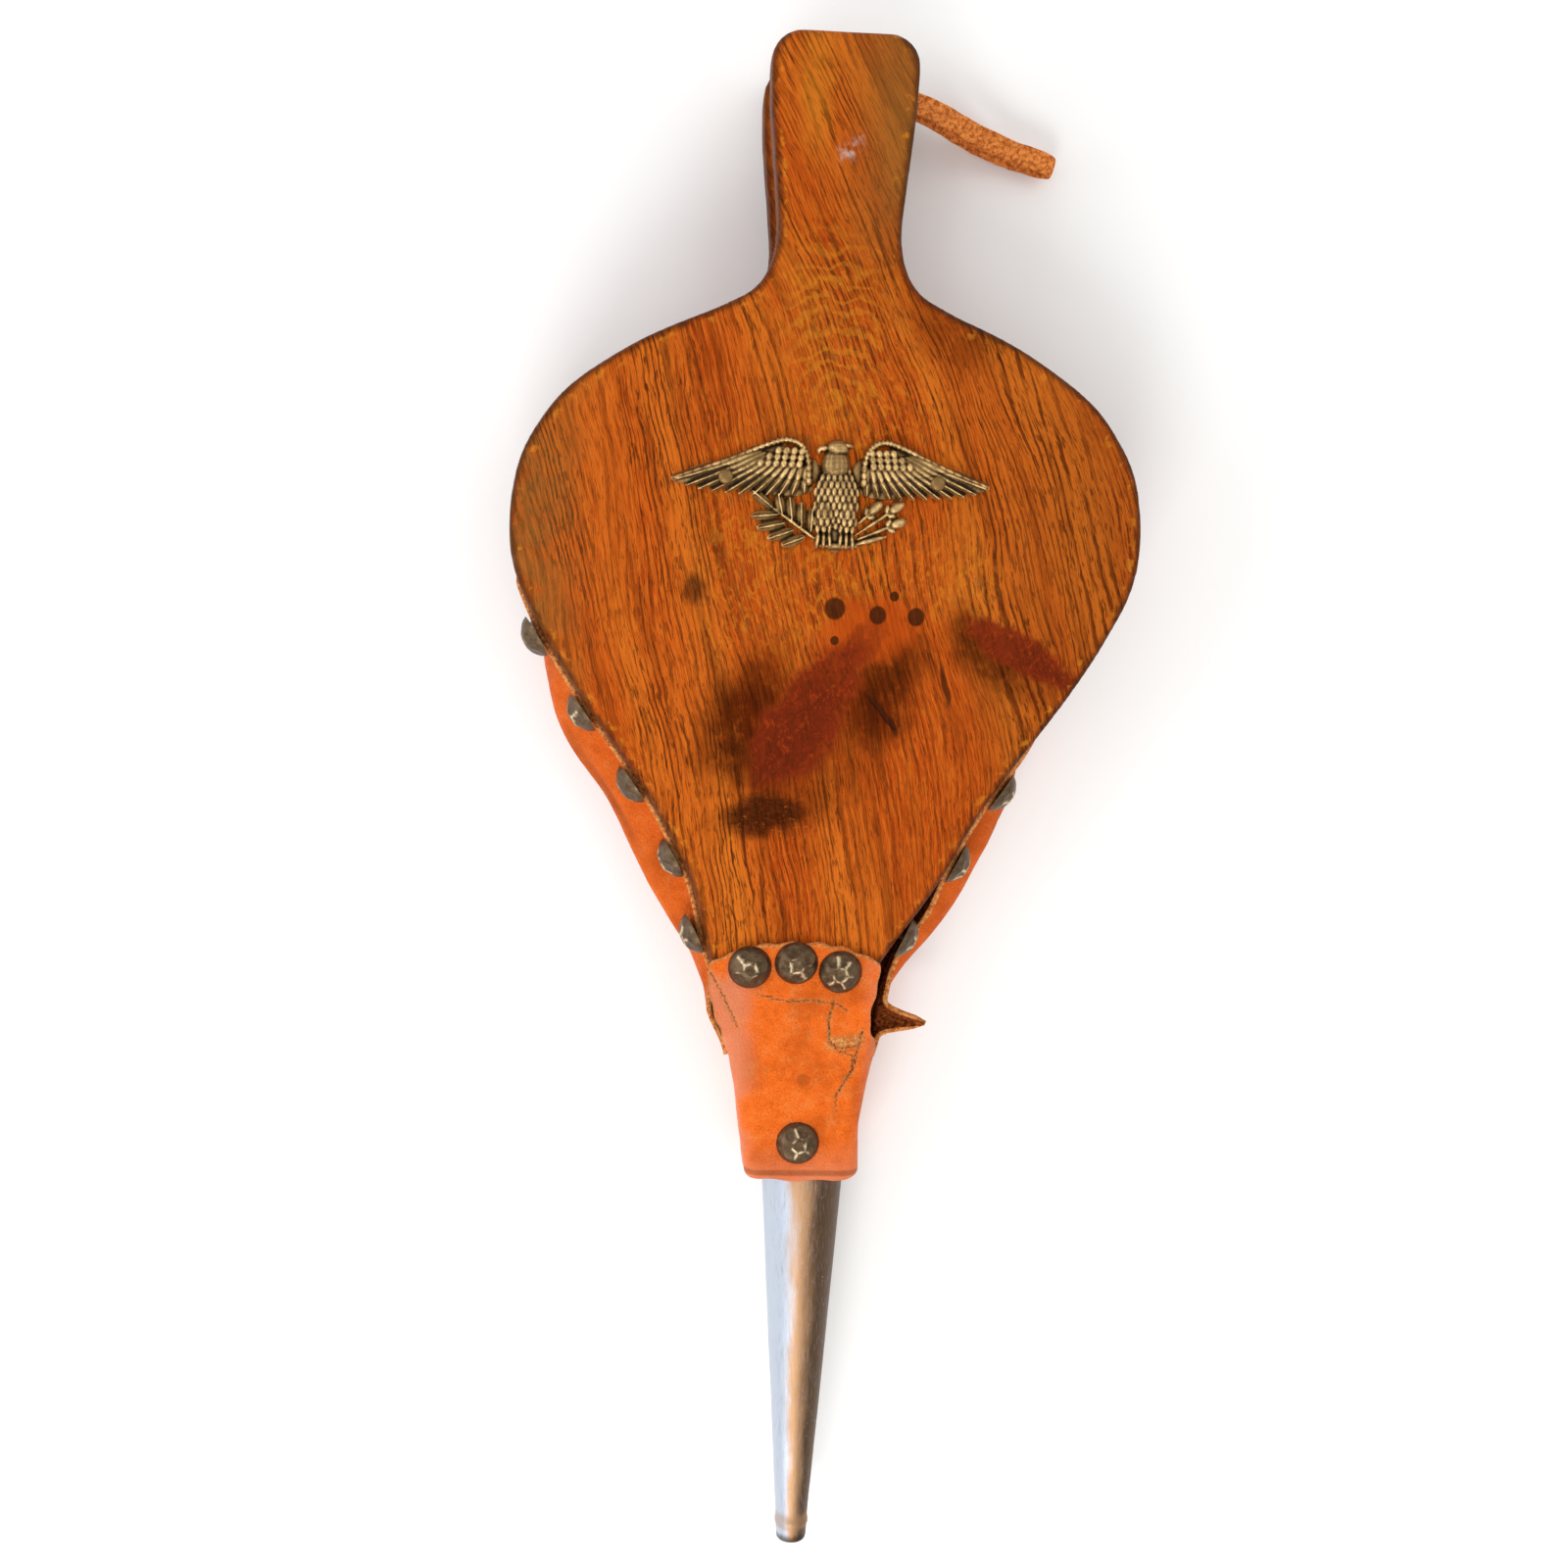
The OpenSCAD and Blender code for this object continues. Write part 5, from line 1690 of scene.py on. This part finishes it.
    def pins(self):
        """Two round-headed pins, each modelled where the CAD has them."""
        parts = []
        for tip, axis, total in fasteners("ornament_pins"):
            pin = add("uv_sphere", "pin", segments=24, ring_count=12, radius=2 * MM)
            with editing(pin):
                bpy.ops.mesh.select_all(action="SELECT")
                bpy.ops.transform.resize(value=(1, 1, 0.45))
                bpy.ops.mesh.bisect(plane_co=(0, 0, 0), plane_no=(0, 0, 1), clear_inner=True, use_fill=True)
                pick(pin, "faces", lambda f: f.normal.z < -0.9)
                bpy.ops.mesh.inset(thickness=1.3 * MM)
                bpy.ops.mesh.extrude_region_move(TRANSFORM_OT_translate={"value": (0, 0, -8 * MM)})
            aim = Vector((0, 0, 1)).rotation_difference(axis).to_matrix().to_4x4()
            pin.data.transform(Matrix.Translation(tip + axis * (total - 0.95 * MM)) @ aim)
            parts.append(pin)
        pins = joined("ornament_pin_heads", parts)
        smooth(pins, 40)
        hand_over(pins, [look("cast_brass")], "brass", "upper", "ornament_pins")


# ---- Valve ----


class BELLOWS_OT_valve(bpy.types.Operator):
    """Intake valve: a flat leather flap over its tacked strip, and the thin disc that keeps it flat"""

    bl_idname = "bellows.valve"
    bl_label = "Valve"

    def execute(self, context):
        low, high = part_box("valve_flap")
        radius = (high.x - low.x) / 2
        centre_y = low.y + radius
        strip_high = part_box("valve_strip")[1]
        rows = 30
        grid = []
        for i in range(rows + 1):
            y = mix(low.y + 0.02 * MM, strip_high.y, i / rows)
            round_half = math.sqrt(max(radius**2 - (y - centre_y) ** 2, (0.8 * MM) ** 2))
            half = max(round_half, strip_high.x) if y > centre_y else round_half
            z = BOARD_T + SKIN + 0.82 * MM
            grid.append([Vector((mix(-half, half, k / 20), y, z)) for k in range(21)])
        flap = sheet_of("valve_leather", grid)
        mark(flap, "worn", [0.1] * len(flap.data.vertices))
        mark(flap, "crease", [0.0] * len(flap.data.vertices))
        modify(flap, "SOLIDIFY", thickness=1.5 * MM, offset=0, material_offset_rim=1)
        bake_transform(flap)
        hand_over(
            flap, [look("leather"), look("raw_leather")], "leather", None, "valve_flap", "valve_strip"
        )
        disc = cad_copy("valve_disc_wood", "valve_disc")
        modify(disc, "BEVEL", width=0.5 * MM, segments=2, limit_method="ANGLE")
        apply_modifiers(disc)
        smooth(disc, 40)
        mark(disc, "rim", [8.0] * len(disc.data.vertices))
        hand_over(disc, [look("plain_wood")], "wood", "valve", "valve_disc")
        return {"FINISHED"}


# ---- Panel and registration ----


class BELLOWS_PT_build(bpy.types.Panel):
    """Lists the pieces of the bellows in the order in which they are made"""

    bl_label = "Hand bellows"
    bl_idname = "BELLOWS_PT_build"
    bl_space_type = "VIEW_3D"
    bl_region_type = "UI"
    bl_category = "Bellows"

    def draw(self, context):
        column = self.layout.column()
        for operator in OPERATORS:
            column.operator(operator.bl_idname)
        for group in SETTINGS:
            for key in SETTINGS[group].__annotations__:
                column.prop(getattr(context.scene, group), key)


OPERATORS = (
    BELLOWS_OT_stage, BELLOWS_OT_thong, BELLOWS_OT_boards, BELLOWS_OT_nose, BELLOWS_OT_nozzle,
    BELLOWS_OT_gusset, BELLOWS_OT_collar, BELLOWS_OT_nails, BELLOWS_OT_ornament, BELLOWS_OT_valve,
)
SETTINGS = {
    "bellows_wood": WoodSettings,
    "bellows_leather": LeatherSettings,
    "bellows_metal": MetalSettings,
    "bellows_stage": StageSettings,
}


def register():
    for cls in (*SETTINGS.values(), *OPERATORS, BELLOWS_PT_build):
        bpy.utils.register_class(cls)
    for name, group in SETTINGS.items():
        setattr(bpy.types.Scene, name, bpy.props.PointerProperty(type=group))


def unregister():
    for name in SETTINGS:
        delattr(bpy.types.Scene, name)
    for cls in (BELLOWS_PT_build, *OPERATORS[::-1], *list(SETTINGS.values())[::-1]):
        bpy.utils.unregister_class(cls)


def main():
    register()
    for operator in OPERATORS:
        group, name = operator.bl_idname.split(".")
        getattr(getattr(bpy.ops, group), name)()


if __name__ == "__main__":
    main()
